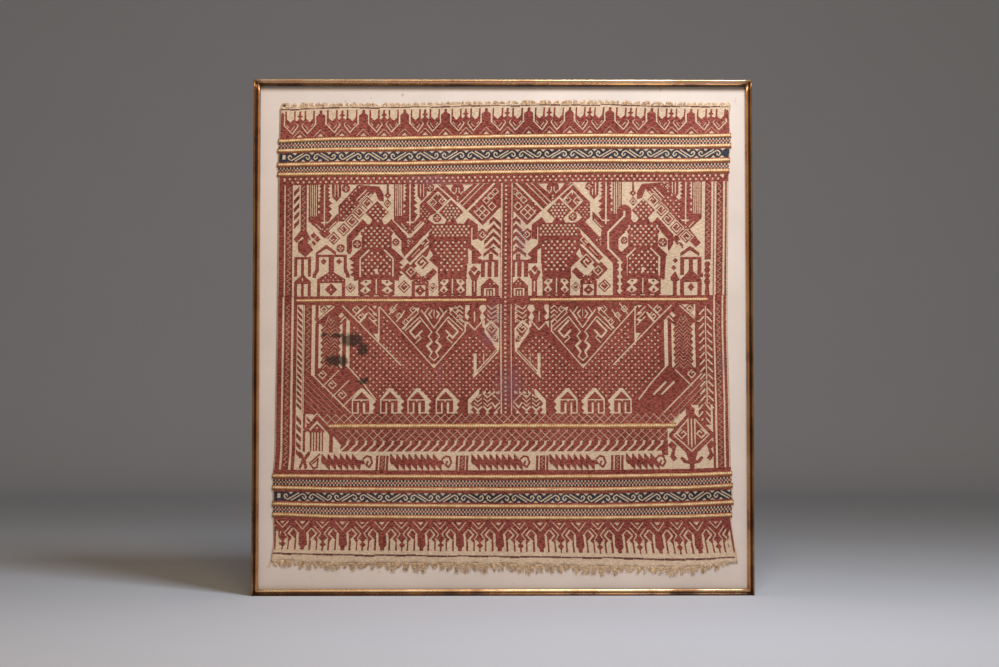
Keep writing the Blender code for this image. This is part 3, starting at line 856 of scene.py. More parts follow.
def fin(pen):
    pen.shape([(-0.8, 49), (2.4, 49), (2.4, 66), (19.4, 48), (24.6, 42), (24.6, 47), (1.2, 72),
               (-1.4, 74.4), (-0.4, 68)], GROUND)
    pen.stroke([(9.6, 49), (9.6, 59)], 0.8)
    pen.stroke([(3.8, 67.4), (22.6, 46.2)], 0.8, RED)


def small_house(pen):
    """A gabled house with three legs, its far roof slope thick and its far wall toothed."""
    pen.shape([(-1, 0), (1.6, 0), (14.2, 13), (11.2, 16.4), (13.6, 19.6), (11, 22.6), (13, 25.6),
               (4.4, 25.6), (-9.6, 25.6), (-9.6, 11)], GROUND)
    pen.shape([(0.2, 3.6), (7.6, 11.2), (-7.2, 11.2)])
    pen.block(-8.2, 12.4, 7.6, 14.6)
    for du, foot in ((-8.2, 24), (-2.6, 26), (3.6, 24)):
        pen.block(du, 12.4, du + 4, foot)
    pen.block(-0.9, 12.6, 0.5, 13.8, GROUND)


def zigzag_block(pen):
    """Two columns of nested chevrons between a toothed edge and the pole."""
    pen.shape([(-1.6, 0), (-3.4, 0), (-13.2, 10.6), (-13.2, 24.6), (-6.6, 24.6), (-10, 20.4), (-7.8, 17.6),
               (-10.6, 14.6), (-8.4, 11.6), (-2.2, 5.4)], GROUND)
    for k in range(4):
        pen.shape([(0.8 + 4.6 * k, 4.6), (4.4 + 4.6 * k, 0.6), (4.4 + 4.6 * k, 4.6)], GROUND)
    for du in (-3.4, 6.2):
        for k in range(4):
            top = 5 + 4.2 * k
            pen.stroke([(du - 3.6, top), (du, top + 3.4), (du + 3.6, top)], 1.1 if k < 3 else 1.9)
    pen.stroke([(10.6, 4.4), (19, 12.6), (13.6, 18.8)], 1.1)
    pen.stroke([(10.8, 13.4), (13.6, 17.8), (17, 14.4)], 1.6)
    for du in (-3.4, 6.2, 15):
        pen.shape([(du - 2.6, 24.6), (du, 20.6), (du + 2.6, 24.6)], GROUND)
    pen.stroke([(12.4, 24.4), (19.6, 16.4)], 1)


def lower_field(chart):
    chart.block(0, MIDDLE_FOOT, STEPS_ACROSS, LOWER_FOOT, RED)
    for v, height in ((307.9, 9.6), (323.6, 11.6)):
        lattice(chart, 62 if v > 320 else 34, 400, v, height)
    chart.block(62, 346, 382, 365.2, GROUND)
    for k in range(36):
        comb_tooth(Pen(chart, 64 + 8.87 * k, 335))
    corner_house(Pen(chart, 0, MIDDLE_FOOT))
    corner_lozenge(Pen(chart, STEPS_ACROSS, MIDDLE_FOOT, -1))
    for u0, u1 in ((46, 97), (113.8, 175), (193.6, 252), (270.6, 327), (346.5, 386)):
        creature(Pen(chart, u0, 349.6), u1 - u0)
    triangle_head(Pen(chart, 34.6, 349))
    for u in (100.2, 178.9, 257.9, 331.9):
        striped_pillar(Pen(chart, u, 350.2))
    chart.block(0, 365.4, STEPS_ACROSS, 368, RED)


def lattice(chart, u0, u1, v, height):
    pitch = 8.3
    for k in range(int((u1 - u0) / pitch) + 1):
        u = u0 + k * pitch
        chart.stroke([(u, v), (u + height, v + height)], 0.6)
        chart.stroke([(u + height, v), (u, v + height)], 0.6)


def comb_tooth(pen):
    """One slanting bird-headed tooth of the comb row."""
    pen.shape([(6.6, 0), (9.4, 0), (9.4, 1.4), (8.4, 2), (8.8, 4), (6, 6.4), (1.8, 11), (1.4, 14.2),
               (-4.4, 14.2), (-0.4, 10), (6.4, 3.4)], GROUND)


def creature(pen, long):
    """A long body with slanting teeth above and below and a curled tail."""
    pen.block(-2, 1, long + 2.6, 15.6, GROUND)
    body = long - 9.4
    pen.shape([(0, 5.4), (body, 5.4), (body + 2.6, 9.8), (body, 9.8), (2, 9.8), (0, 7)])
    for k in range(int(body / 6)):
        start = 6 * k
        pen.shape([(start, -0.8), (start + 0.8, -0.8), (start + 6.6, 6.2), (start, 6.2)])
        pen.shape([(start + 2.4, 8.8), (start + 9.2, 8.8), (start + 9.2, 15.6), (start + 8.6, 15.6)])
    tail = pen.move(body + 4.2, 7.4)
    tail.stroke([(-4.4, -3.4), (-1.4, -6), (2.4, -5.4), (4.6, 0.6), (2, 5.2), (-1, 3), (0.2, -0.6)], 1.9, RED)


def striped_pillar(pen):
    pen.block(-0.2, 0, 2.2, 16)
    pen.block(3.4, 0, 8.8, 16)
    zigzag(pen.move(6.1, 1), 13, 2.6, 4, 0.5)
    pen.block(9.9, 0, 12, 16)


def corner_house(pen):
    """House inside a roofed frame at the lower left of the field, with a crossed figure below."""
    pen.shape([(15.5, 0), (38, 0), (41, -1.4), (66, 27.6), (64.4, 35), (62, 57.8), (15.5, 57.8)], GROUND)
    pen.block(0, 0, 0.9, 58, GROUND)
    pen.block(5.4, 0, 7.4, 58, GROUND)
    zigzag(pen.move(10.8, 1), 55)
    pen.block(14.4, 0, 16.6, 58, GROUND)
    pen.block(16.6, 0, 20, 57.8)
    twisted_column(pen.move(20), 6.2, 8.8, 56, -1)
    for k in range(3):
        pen.shape([(30.6, 2 + 5.4 * k), (34.6, 6 + 5.4 * k), (34.6, 9 + 5.4 * k), (30.6, 5 + 5.4 * k)])
    pen.move(38.4, -1).diamond(2.6, 2.6)
    pen.block(27.4, 0, 29.8, 15)
    pen.shape([(41.1, 0.4), (66, 27.6), (66, 33), (58, 23), (57, 23), (57, 39.4), (53.2, 39.4),
               (53.2, 20.4), (41.1, 6.6), (29.8, 19), (29.8, 38.6), (27.4, 38.6), (27.4, 17)])
    small = pen.move(41.1, 7.6)
    small.shape([(0, 2), (7.4, 9.4), (7.4, 11), (-6.8, 11), (-6.8, 9.4)])
    small.block(-0.8, 5.6, 0.8, 7.4, GROUND)
    for k in range(5):
        small.block(-6.8 + 2.9 * k, 10.4, -5.2 + 2.9 * k, 30.4)
    pen.shape([(23.2, 38), (27, 40.8), (29, 44.6), (32.6, 38.6), (35, 38.6), (34.4, 42.6), (30.8, 47.4),
               (33.2, 55.8), (30.8, 57.6), (28.6, 50.4), (26.6, 57.6), (24.6, 55.4), (27, 47), (23.6, 42.6)])


def triangle_head(pen):
    """The three-sided curl that stands for the first creature's head."""
    pen.stroke([(9.4, 0.2), (0.6, 9.4), (4.6, 15), (8, 13.6), (8.2, 4.6), (3.6, 9.6)], 1.7, RED)


def corner_lozenge(pen):
    """Lozenge with bars and keys at the lower right of the field, on a small footed stand."""
    pen.shape([(17, -8), (40, -8), (62, 14), (62, 57.8), (17, 57.8)], GROUND)
    pen.block(0, 0, 1.8, 58, GROUND)
    pen.block(4.6, 0, 6.2, 58, GROUND)
    zigzag(pen.move(9.6, 1), 55)
    pen.block(12.8, 0, 14.6, 58, GROUND)
    pen.block(19, -9, 31, 12)
    for k in range(3):
        pen.move(25, -8 + 7 * k).twin_stroke([(1.8, 0), (5.4, 4.6)], 1.5)
    pen.shape([(40, -9), (43.6, -4), (43.6, 2), (35, 2), (35, -4)])
    centre = pen.move(38.4, 0)
    centre.twin([(0, -3), (3, 0), (22.4, 21.4), (22.4, 24), (0, 46.6)])
    centre.shape([(-6, 40), (6, 40), (3.4, 49), (-3.4, 49)])
    centre.twin_stroke([(0, 39.4), (17.4, 22.4), (3.4, 6), (3.4, 32)], 1.4)
    centre.stroke([(0, 6), (0, 34.6)], 1.4)
    for side in (-1, 1):
        spiral(centre.move(side * 9.8, 21, side), 6.6, 45, 1, 1.5)
    centre.twin([(15, 33), (19.6, 28.4), (24, 33), (19, 37.4), (21.6, 44.6), (18, 50), (14.6, 46.6),
                 (17.4, 43)])
    centre.twin([(0, 48.6), (5.6, 48.6), (9.4, 44.6), (11.6, 47), (7.6, 51.6), (2.4, 52.6), (2.4, 57.8),
                 (0, 57.8)])


# Bands and borders

def dotted_rows(chart, v):
    chart.block(0, v - 1.4, STEPS_ACROSS, v + 7, RED)
    for row, shift in ((0, 0), (3.3, 2.6)):
        for k in range(78):
            u = 10.6 + 5.6 * k + shift
            if u < 444:
                chart.block(u, v + row, u + 1.9, v + row + 1.9, GROUND)
    for u in (5.2, 443.4):
        chart.block(u, v, u + 2, v + 3.4, GROUND)
    chart.block(0, v - 1.4, 1.2, v + 7, GROUND)


def checker(chart, v):
    """Three rows of small squares, navy outside and red inside."""
    size = 1.667
    for row, thread in enumerate((NAVY, RED, NAVY)):
        for k in range(135):
            u = 2 * size * k + (size if row % 2 else 0)
            chart.block(u - 0.17, v + row * 2, u + size + 0.17, v + (row + 1) * 2, thread)


def scroll_band(chart, v, first, pitch, way):
    """Pairs of parallel hooked diagonals, by turns rising and falling, between half lozenges."""
    chart.block(1, v - 4.5, 449, v + 4.5, NAVY)
    chart.block(4.2, v - 3, 7.2, v + 1.8, GROUND)
    arm = ((7.4, 0.2), (7.9, 1.6), (9.4, 2.4), (10.7, 0.6), (9.8, -1.6), (7.2, -3), (-3.6, 3.7))
    count = int((444 - first) / pitch) + 1
    for k in range(count):
        unit = Pen(chart, first + pitch * k, v)
        unit.stroke([(du, way * dv) for du, dv in arm], 1.3)
        unit.stroke([(-du, -way * dv) for du, dv in arm], 1.3)
        for edge in (-1, 1):
            for middle, half, deep in ((pitch / 2, 2.8, 2.3), (edge * way * 4.2, 2.4, 2.5)):
                unit.shape([(middle - half, edge * 4.6), (middle, edge * (4.6 - deep)),
                            (middle + half, edge * 4.6)], GROUND)
        way = -way


UPPER_POSTS = (-0.5, 40.9, 83.6, 124.7, 165.5, 206.1, 248.7, 289.5, 329.7, 371.7, 411.1, 451.5)
LOWER_POSTS = (28.5, 67.6, 106.3, 144.4, 181.9, 220.7, 261.4, 299.3, 337.2, 376.8, 415.3)


def upper_border(chart):
    top = 3.6
    chart.block(0.8, top, 449.2, 30.4, RED)
    for left, right in zip(UPPER_POSTS, UPPER_POSTS[1:]):
        reach = (right - left) / 2
        for post, side in ((left, 1), (right, -1)):
            border_gap(Pen(chart, post, top, side), reach)
        border_finial(Pen(chart, left + reach, top))
    for u in UPPER_POSTS[1:-1]:
        border_base(Pen(chart, u, top))
    for u, side in ((0, 1), (STEPS_ACROSS, -1)):
        edge = Pen(chart, u, 0, side)
        edge.shape([(1.4, 6.4), (2.2, 4.8), (3.6, 4.8), (4.4, 6.4), (4.4, 14), (1.4, 14)])
        edge.block(0, 3.3, 0.9, 30.4, GROUND)


def border_gap(pen, reach):
    """Cream between a post and the next finial, above a chevron."""
    stretch = reach / 20.6

    def at(points):
        return [(du * stretch, dv) for du, dv in points]

    pen.shape(at([(1.3, -0.5), (1.3, 3.2), (4.4, 5.6), (4.4, 14.4), (5.9, 14.4), (5.9, -0.5)]), GROUND)
    pen.shape(at([(7.4, -0.5), (7.4, 7.4), (10.9, 11.2), (14.6, 7.6), (14.6, -0.5)]), GROUND)
    pen.shape(at([(16.2, -0.5), (16.2, 8.6), (17.6, 10.2), (20.7, 10.2), (20.7, -0.5)]), GROUND)
    pen.stroke(at([(5.2, 13.8), (13.2, 22.4), (19, 14.4), (16.6, 11)]), 1.15)
    pen.stroke(at([(7.6, 13.4), (9.4, 15.6)]), 0.8)
    pen.stroke(at([(12.4, 18.4), (15.2, 14.8)]), 0.8)


def border_finial(pen):
    pen.block(-1, 0.4, 1, 8)
    pen.move(0, 5.3).diamond(2.9, 2.2)
    pen.move(0, 11).diamond(4.7, 4)
    pen.block(-1.6, 13, 1.6, 17)
    border_base(pen)


def border_base(pen):
    pen.shape([(-2.9, 26), (0, 23.2), (2.9, 26)], GROUND)
    pen.stroke([(-6.6, 25.8), (0, 19.2), (6.6, 25.8)], 0.6)


def lower_border(chart):
    top = 415.6
    chart.block(0.8, 413.6, 449.2, top + 29, RED)
    ends = (LOWER_POSTS[0] - 39,) + LOWER_POSTS + (LOWER_POSTS[-1] + 38,)
    for left, right in zip(ends, ends[1:]):
        reach = (right - left) / 2
        for side in (-1, 1):
            hanging_gap(Pen(chart, left + reach, top, side), reach)
        hanging_finial(Pen(chart, left + reach, top))
    for u in LOWER_POSTS:
        pen = Pen(chart, u, top)
        pen.shape([(-3, 0.4), (3, 0.4), (0, 3.6)], GROUND)
        pen.stroke([(-6.6, 0.6), (0, 8.6), (6.6, 0.6)], 1)
    for u, side in ((0, 1), (STEPS_ACROSS, -1)):
        edge = Pen(chart, u, top, side)
        edge.block(0.9, 6, 6.4, 29.4)
        edge.shape([(2.8, 9), (5.2, 12.2), (4.4, 15.6), (6.6, 19.6), (5.4, 23.6), (7.2, 27), (7.2, 30),
                    (2.8, 30)], GROUND)
        edge.block(0, -2, 0.9, 30, GROUND)


def hanging_gap(pen, reach):
    """Cream between a finial, on the pen's axis, and the post beside it."""
    stretch = reach / 19.3

    def at(points):
        return [(-du * stretch, dv) for du, dv in points]

    pen.shape(at([(15.8, 11.6), (13.8, 11.6), (13.2, 14.6), (13.2, 30), (17.4, 30), (17.4, 26.2),
                  (15.2, 23.4)]), GROUND)
    pen.shape(at([(11.4, 17.4), (9.4, 17), (6.4, 20.4), (6.4, 30), (11.4, 30)]), GROUND)
    pen.shape(at([(5, 19.6), (3.4, 17.4), (0, 21.6), (0, 30), (4.8, 30)]), GROUND)
    pen.stroke(at([(9.6, 8.2), (5.8, 12.8), (11.4, 18.6)]), 1.5)
    pen.stroke(at([(7.4, 5.6), (1.6, 12.2), (5, 17.6), (3.6, 19.6)]), 1.05)
    pen.stroke(at([(10.8, 7.6), (14.8, 11.9)]), 1)


def hanging_finial(pen):
    pen.shape([(-2.6, 0.6), (2.6, 0.6), (0, 3)], GROUND)
    pen.stroke([(-5.8, 0.6), (0, 7), (5.8, 0.6)], 1)
    pen.move(0, 16.4).diamond(4.2, 4.4)
    pen.move(0, 23.4).diamond(3.2, 3)
    pen.block(-0.8, 18, 0.8, 29.6)
    pen.block(-1.2, 12, 1.2, 15)


def hem_lines(chart):
    for v, height in ((1, 1), (448.8, 1.5)):
        for k in range(45):
            u = 10 * k
            lift = 0.25 * math.sin(0.9 * k) + 0.15 * math.sin(2.3 * k)
            thick = height * (1 + 0.3 * math.sin(1.7 * k))
            chart.block(max(u, 1), v + lift, min(u + 9.7, 448), v + lift + thick, PLUM)


def pole(chart):
    for v0, v1 in ((UPPER_TOP, 192.5), (198.2, 308.2)):
        chart.block(222.4, v0, 234.6, v1, RED)
        for u in (222.8, 233):
            chart.block(u, v0, u + 1.1, v1, GROUND)
    for k in range(54):
        v = 80.2 + 4.25 * k
        chart.block(226.6, v, 228.6, v + 1.9, GROUND)


def draw_chart():
    chart = Chart()
    upper_field(chart)
    middle_field(chart)
    lower_field(chart)
    pole(chart)
    upper_border(chart)
    lower_border(chart)
    for v0, v1 in ((29.8, 34.8), (40.8, 46.0), (54.8, 60.8), (66.8, 70.2), (367.2, 374.2), (380.2, 387.5),
                   (396.3, 402.6), (408.6, 414.2)):
        chart.block(0.6, v0, 449.4, v1, RED)
    for v in (34.8, 60.8, 374.2, 402.6):
        checker(chart, v)
    scroll_band(chart, 50.4, 20.7, 25.55, 1)
    scroll_band(chart, 391.9, 21.6, 24.77, 1)
    dotted_rows(chart, 71.4)
    hem_lines(chart)
    return chart.cells


# Raising the floats out of the chart

EDGE_SLACK = 0.52         # how far, in cells, a straight float edge may leave the charted one
LONGEST_CHAIN = 54        # rows of cells that one raised block may cover
FLOAT_SINK = 0.3 * MM     # how deep a block reaches into the ground weave


def knot_columns():
    """Columns of cells where the weft lines bend, so that no block spans a bend."""
    width = RIGHT_EDGES.mean() - LEFT_EDGES.mean()
    across = (PLACES[1:-1] - LEFT_EDGES.mean()) / width
    return [int(round(share * STEPS_ACROSS * CELLS)) for share in across]


def row_runs(row, knots):
    """Start and end columns of each unbroken run in a row of the chart."""
    padded = np.concatenate(([False], row, [False]))
    edges = np.flatnonzero(padded[1:] != padded[:-1])
    runs = []
    for start, end in zip(edges[::2].tolist(), edges[1::2].tolist()):
        for knot in knots:
            if start < knot < end:
                runs.append((start, knot))
                start = knot
        runs.append((start, end))
    return runs


def fits(chain, key, value, rows_down):
    """Slopes that keep one edge of a chain within the slack, or None."""
    first, low, high = chain[key]
    low = max(low, (value - EDGE_SLACK - first) / rows_down)
    high = min(high, (value + EDGE_SLACK - first) / rows_down)
    return (first, low, high) if low <= high else None


def float_chains(mask, knots):
    """Runs joined down the rows into blocks with straight edges.

    Each block is (first row, rows, left, left slope, right, right slope) in cells.
    """
    done, growing = [], []
    for index in range(mask.shape[0] + 1):
        runs = row_runs(mask[index], knots) if index < mask.shape[0] else []
        waiting = {}
        for chain in growing:
            waiting.setdefault(chain["last"][0] // 4, []).append(chain)
        still = []
        for start, end in runs:
            taken = None
            for place in (start // 4 - 1, start // 4, start // 4 + 1):
                for chain in waiting.get(place, ()):
                    rows_down = index - chain["row"]
                    if chain["joined"] or rows_down >= LONGEST_CHAIN:
                        continue
                    left = fits(chain, "left", start, rows_down)
                    right = fits(chain, "right", end, rows_down)
                    if left and right:
                        taken = chain
                        taken.update(left=left, right=right, last=(start, end), joined=True)
                        break
                if taken:
                    break
            if taken is None:
                taken = {"row": index, "left": (start, -4.0, 4.0), "right": (end, -4.0, 4.0),
                         "last": (start, end), "joined": True}
            still.append(taken)
        done += [chain for chain in growing if not chain["joined"]]
        for chain in still:
            chain["end"] = index + 1
            chain["joined"] = False
        growing = still
    blocks = []
    for chain in done:
        rows = chain["end"] - chain["row"]
        edges = []
        for first, low, high in (chain["left"], chain["right"]):
            slope = 0.0 if rows == 1 or low <= 0.0 <= high else (low + high) / 2
            edges += [first, slope]
        blocks.append((chain["row"], rows, *edges))
    return np.array(blocks).reshape(-1, 6)


def block_corners(blocks, first_row):
    """Chart steps of each block's corners: upper left, upper right, lower right, lower left."""
    row, rows, left, left_slope, right, right_slope = blocks.T
    top = row + first_row
    corners = []
    for reach, order in ((-0.5, (0, 1)), (rows - 0.5, (1, 0))):
        sides = [left + left_slope * reach, right + right_slope * reach]
        narrow = sides[1] - sides[0] < 0.3
        middle = (sides[0] + sides[1]) / 2
        sides[0] = np.where(narrow, middle - 0.15, sides[0])
        sides[1] = np.where(narrow, middle + 0.15, sides[1])
        for side in order:
            corners.append((sides[side] / CELLS, (top + reach + 0.5) / CELLS))
    return corners


def raise_floats(name, cells, v0, v1, threads, materials, rise):
    """One mesh of low closed blocks for every float between two chart rows."""
    first_row, last_row = int(round(v0 * CELLS)), int(round(v1 * CELLS))
    band = cells[first_row:last_row]
    knots = knot_columns()
    places, finish = [], []
    for slot, thread in enumerate(threads):
        blocks = float_chains(band == thread, knots)
        if not len(blocks):
            continue
        ring = []
        for u, v in block_corners(blocks, first_row):
            x, z = cloth_places(u, v)
            ring.append((x, cloth_front(x, z), z))
        front = [np.stack((x, y - rise, z), axis=1) for x, y, z in ring]
        back = [np.stack((x, y + FLOAT_SINK, z), axis=1) for x, y, z in ring]
        places.append(np.stack(front + back, axis=1).reshape(-1, 3))
        finish.append(np.full(len(blocks), slot))
    places = np.concatenate(places)
    finish = np.concatenate(finish)
    box = np.array(((3, 2, 1, 0), (4, 5, 6, 7), (0, 1, 5, 4), (1, 2, 6, 5), (2, 3, 7, 6), (3, 0, 4, 7)))
    faces = (box[None] + 8 * np.arange(len(finish))[:, None, None]).reshape(-1, 4)
    made = joined_mesh(name, places, faces, np.repeat(finish, len(box)), materials)
    made.data.shade_flat()
    return made


def joined_mesh(name, places, faces, finish, materials):
    """A mesh object from arrays of corners and four-sided faces."""
    mesh = bpy.data.meshes.new(name)
    mesh.vertices.add(len(places))
    mesh.vertices.foreach_set("co", places.astype(np.float32).ravel())
    mesh.loops.add(faces.size)
    mesh.loops.foreach_set("vertex_index", faces.astype(np.int32).ravel())
    mesh.polygons.add(len(faces))
    mesh.polygons.foreach_set("loop_start", np.arange(0, faces.size, 4, dtype=np.int32))
    mesh.polygons.foreach_set("material_index", finish.astype(np.int32))
    mesh.update(calc_edges=True)
    mesh.validate()
    for made in materials:
        mesh.materials.append(made)
    add_planar_map(mesh)
    return link_object(name, mesh)


def add_planar_map(mesh):
    """A map of the piece seen face on, named OFBake."""
    places = np.empty(len(mesh.vertices) * 3, np.float32)
    mesh.vertices.foreach_get("co", places)
    places = places.reshape(-1, 3)
    low = places.min(axis=0)
    span = max(places.max(axis=0)[[0, 2]] - low[[0, 2]])
    corners = np.empty(len(mesh.loops), np.int32)
    mesh.loops.foreach_get("vertex_index", corners)
    layer = mesh.uv_layers.new(name="OFBake")
    flat = (places[corners][:, [0, 2]] - low[[0, 2]]) / span * 0.98 + 0.01
    layer.data.foreach_set("uv", flat.astype(np.float32).ravel())


def link_object(name, mesh):
    made = bpy.data.objects.new(name, mesh)
    bpy.context.scene.collection.objects.link(made)
    return made


def finish_bmesh(name, bm, *materials, smooth=True):
    bmesh.ops.recalc_face_normals(bm, faces=bm.faces)
    for face in bm.faces:
        face.smooth = smooth
    mesh = bpy.data.meshes.new(name)
    bm.to_mesh(mesh)
    bm.free()
    for made in materials:
        mesh.materials.append(made)
    return link_object(name, mesh)


def thicken(bm, front_faces, back):
    """Close a front of faces with a flat back at y = back."""
    made = bmesh.ops.extrude_face_region(bm, geom=front_faces, use_keep_orig=True)
    for vert in made["geom"]:
        if isinstance(vert, bmesh.types.BMVert):
            vert.co.y = back


# Materials

def new_material(name, roughness, metallic=0.0):
    made = bpy.data.materials.new(name)
    made.use_nodes = True
    shader = made.node_tree.nodes["Principled BSDF"]
    shader.inputs["Roughness"].default_value = roughness
    shader.inputs["Metallic"].default_value = metallic
    return made, made.node_tree, shader


def node(tree, kind, values=None, **settings):
    made = tree.nodes.new(kind)
    for key, value in settings.items():
        setattr(made, key, value)
    for key, value in (values or {}).items():
        made.inputs[key].default_value = value
    return made


def stretched_noise(tree, stretch, scale, detail=2.0, roughness=0.5):
    """Noise in object space, drawn out along some axes."""
    place = node(tree, "ShaderNodeTexCoord")
    mapping = node(tree, "ShaderNodeMapping", {"Scale": stretch})
    noise_node = node(tree, "ShaderNodeTexNoise", {"Scale": scale, "Detail": detail, "Roughness": roughness})
    tree.links.new(place.outputs["Object"], mapping.inputs["Vector"])
    tree.links.new(mapping.outputs["Vector"], noise_node.inputs["Vector"])
    return noise_node.outputs["Fac"]


def ramp(tree, source, stops):
    made = node(tree, "ShaderNodeValToRGB")
    elements = made.color_ramp.elements
    while len(elements) < len(stops):
        elements.new(0.5)
    for element, (position, colour) in zip(elements, stops):
        element.position = position
        element.color = (*colour, 1.0) if len(colour) == 3 else colour
    tree.links.new(source, made.inputs["Fac"])
    return made.outputs["Color"]


def math_node(tree, operation, first, second=None, third=None, clamp=False):
    made = node(tree, "ShaderNodeMath", operation=operation, use_clamp=clamp)
    for socket, value in zip(made.inputs, (first, second, third)):
        if value is None:
            continue
        if isinstance(value, (int, float)):
            socket.default_value = value
        else:
            tree.links.new(value, socket)
    return made.outputs[0]


def mix_colour(tree, share, first, second, blend="MIX"):
    made = node(tree, "ShaderNodeMix", data_type="RGBA", blend_type=blend)
    wanted = {"Factor_Float": share, "A_Color": first, "B_Color": second}
    for socket in made.inputs:
        if socket.identifier in wanted:
            value = wanted[socket.identifier]
            if isinstance(value, (int, float)):
                socket.default_value = value
            elif isinstance(value, tuple):
                socket.default_value = (*value, 1.0)[:4]
            else:
                tree.links.new(value, socket)
    return next(s for s in made.outputs if s.identifier == "Result_Color")


def group_socket(group, name, kind, default=None, way="INPUT"):
    made = group.interface.new_socket(name=name, in_out=way, socket_type=kind)
    if default is not None:
        made.default_value = default
    return made


def bump_by(tree, shader, height, strength, distance):
    raised = node(tree, "ShaderNodeBump", {"Strength": strength, "Distance": distance})
    tree.links.new(height, raised.inputs["Height"])
    tree.links.new(raised.outputs["Normal"], shader.inputs["Normal"])


def scaled(colour, factor):
    return tuple(c * factor for c in colour)


def weave_group():
    """Threads of a plain weave seen face on: a height, and a shade that varies by thread."""
    group = bpy.data.node_groups.new("Woven threads", "ShaderNodeTree")
    group_socket(group, "Thread pitch", "NodeSocketFloat", 1000.0)
    group_socket(group, "Height", "NodeSocketFloat", way="OUTPUT")
    group_socket(group, "Shade", "NodeSocketFloat", way="OUTPUT")
    start = node(group, "NodeGroupInput")
    end = node(group, "NodeGroupOutput")
    place = node(group, "ShaderNodeTexCoord")
    apart = node(group, "ShaderNodeSeparateXYZ")
    group.links.new(place.outputs["Object"], apart.inputs["Vector"])
    waver = stretched_noise(group, (1.0, 1.0, 1.0), 60.0, 2.0)
    shift = math_node(group, "MULTIPLY", waver, 2.2)
    across = math_node(group, "MULTIPLY_ADD", apart.outputs["X"], start.outputs["Thread pitch"], shift)
    down = math_node(group, "MULTIPLY_ADD", apart.outputs["Z"], start.outputs["Thread pitch"], shift)
    warp = math_node(group, "SINE", across)
    weft = math_node(group, "SINE", down)
    crossing = math_node(group, "MULTIPLY", warp, weft)
    ridge = math_node(group, "MULTIPLY_ADD", weft, 0.7, crossing)
    streak = stretched_noise(group, (90.0, 1.0, 300.0), 2.0, 4.0, 0.72)
    height = math_node(group, "MULTIPLY_ADD", ridge, 0.22, streak)
    group.links.new(height, end.inputs["Height"])
    group.links.new(streak, end.inputs["Shade"])
    return group


def age_group():
    """Soft mottling of old dye: broad fading, blotches and fine specks, about a middle of 0.5."""
    group = bpy.data.node_groups.new("Aged dye", "ShaderNodeTree")
    group_socket(group, "Fine blotches", "NodeSocketFloat", 0.5)
    group_socket(group, "Fading", "NodeSocketFloat", way="OUTPUT")
    start = node(group, "NodeGroupInput")
    end = node(group, "NodeGroupOutput")
    broad = stretched_noise(group, (1.0, 1.0, 1.3), 7.0, 3.0)
    fine = stretched_noise(group, (1.0, 1.0, 1.8), 150.0, 4.0, 0.7)
    centred = math_node(group, "SUBTRACT", fine, 0.5)
    blotches = math_node(group, "MULTIPLY", centred, start.outputs["Fine blotches"])
    lifted = math_node(group, "MULTIPLY_ADD", broad, 0.6, 0.2)
    group.links.new(math_node(group, "ADD", lifted, blotches), end.inputs["Fading"])
    return group


def wear_group():
    """Gilding that is rubbed away in patches, finely grained, about a middle of 0.6."""
    group = bpy.data.node_groups.new("Rubbed gilding wear", "ShaderNodeTree")
    group_socket(group, "Grain", "NodeSocketFloat", 0.25)
    group_socket(group, "Wear", "NodeSocketFloat", way="OUTPUT")
    start = node(group, "NodeGroupInput")
    end = node(group, "NodeGroupOutput")
    rub = stretched_noise(group, (1.0, 1.0, 1.0), 17.0, 6.0, 0.62)
    fine = stretched_noise(group, (1.0, 1.0, 1.0), 420.0, 3.0, 0.6)
    wear = math_node(group, "MULTIPLY_ADD", fine, start.outputs["Grain"], rub)
    group.links.new(wear, end.inputs["Wear"])
    return group


def stain_mask(tree, x, z, wide, tall, edge=0.35, raggedness=1.1):
    """A ragged patch centred at a place on the cloth's face."""
    place = node(tree, "ShaderNodeTexCoord")
    mapping = node(tree, "ShaderNodeMapping", {"Location": (-x / wide, 0.0, -z / tall),
                                               "Scale": (1.0 / wide, 0.0, 1.0 / tall)})
    length = node(tree, "ShaderNodeVectorMath", operation="LENGTH")
    tree.links.new(place.outputs["Object"], mapping.inputs["Vector"])
    tree.links.new(mapping.outputs["Vector"], length.inputs[0])
    rough = stretched_noise(tree, (1.0, 1.0, 1.0), 170.0, 4.0, 0.6)
    reach = math_node(tree, "MULTIPLY_ADD", rough, raggedness, length.outputs["Value"])
    made = node(tree, "ShaderNodeMapRange", {"From Min": 1.0 + raggedness / 2,
                                             "From Max": 1.0 + raggedness / 2 - edge})
    tree.links.new(reach, made.inputs["Value"])
    return made.outputs["Result"]


def stain_group():
    """The dark spills and the faint lilac patches that lie over every thread of the cloth."""
    group = bpy.data.node_groups.new("Old stains", "ShaderNodeTree")
    group_socket(group, "Clean colour", "NodeSocketColor", (0.5, 0.5, 0.5, 1.0))
    group_socket(group, "Spill strength", "NodeSocketFloat", 0.85)
    group_socket(group, "Lilac strength", "NodeSocketFloat", 0.3)
    group_socket(group, "Stained colour", "NodeSocketColor", way="OUTPUT")
    start = node(group, "NodeGroupInput")
    end = node(group, "NodeGroupOutput")
    dark = None
    for x, z, wide, tall in DARK_SPILLS:
        patch = stain_mask(group, x, z, wide, tall)
        dark = patch if dark is None else math_node(group, "MAXIMUM", dark, patch)
    share = math_node(group, "MULTIPLY", dark, start.outputs["Spill strength"])
    colour = mix_colour(group, share, start.outputs["Clean colour"], (0.035, 0.022, 0.016))
    for x, z, wide, tall in LILAC_PATCHES:
        patch = stain_mask(group, x, z, wide, tall, 0.8, 1.0)
        share = math_node(group, "MULTIPLY", patch, start.outputs["Lilac strength"])
        colour = mix_colour(group, share, colour, (0.22, 0.12, 0.17))
    group.links.new(colour, end.inputs["Stained colour"])
    return group


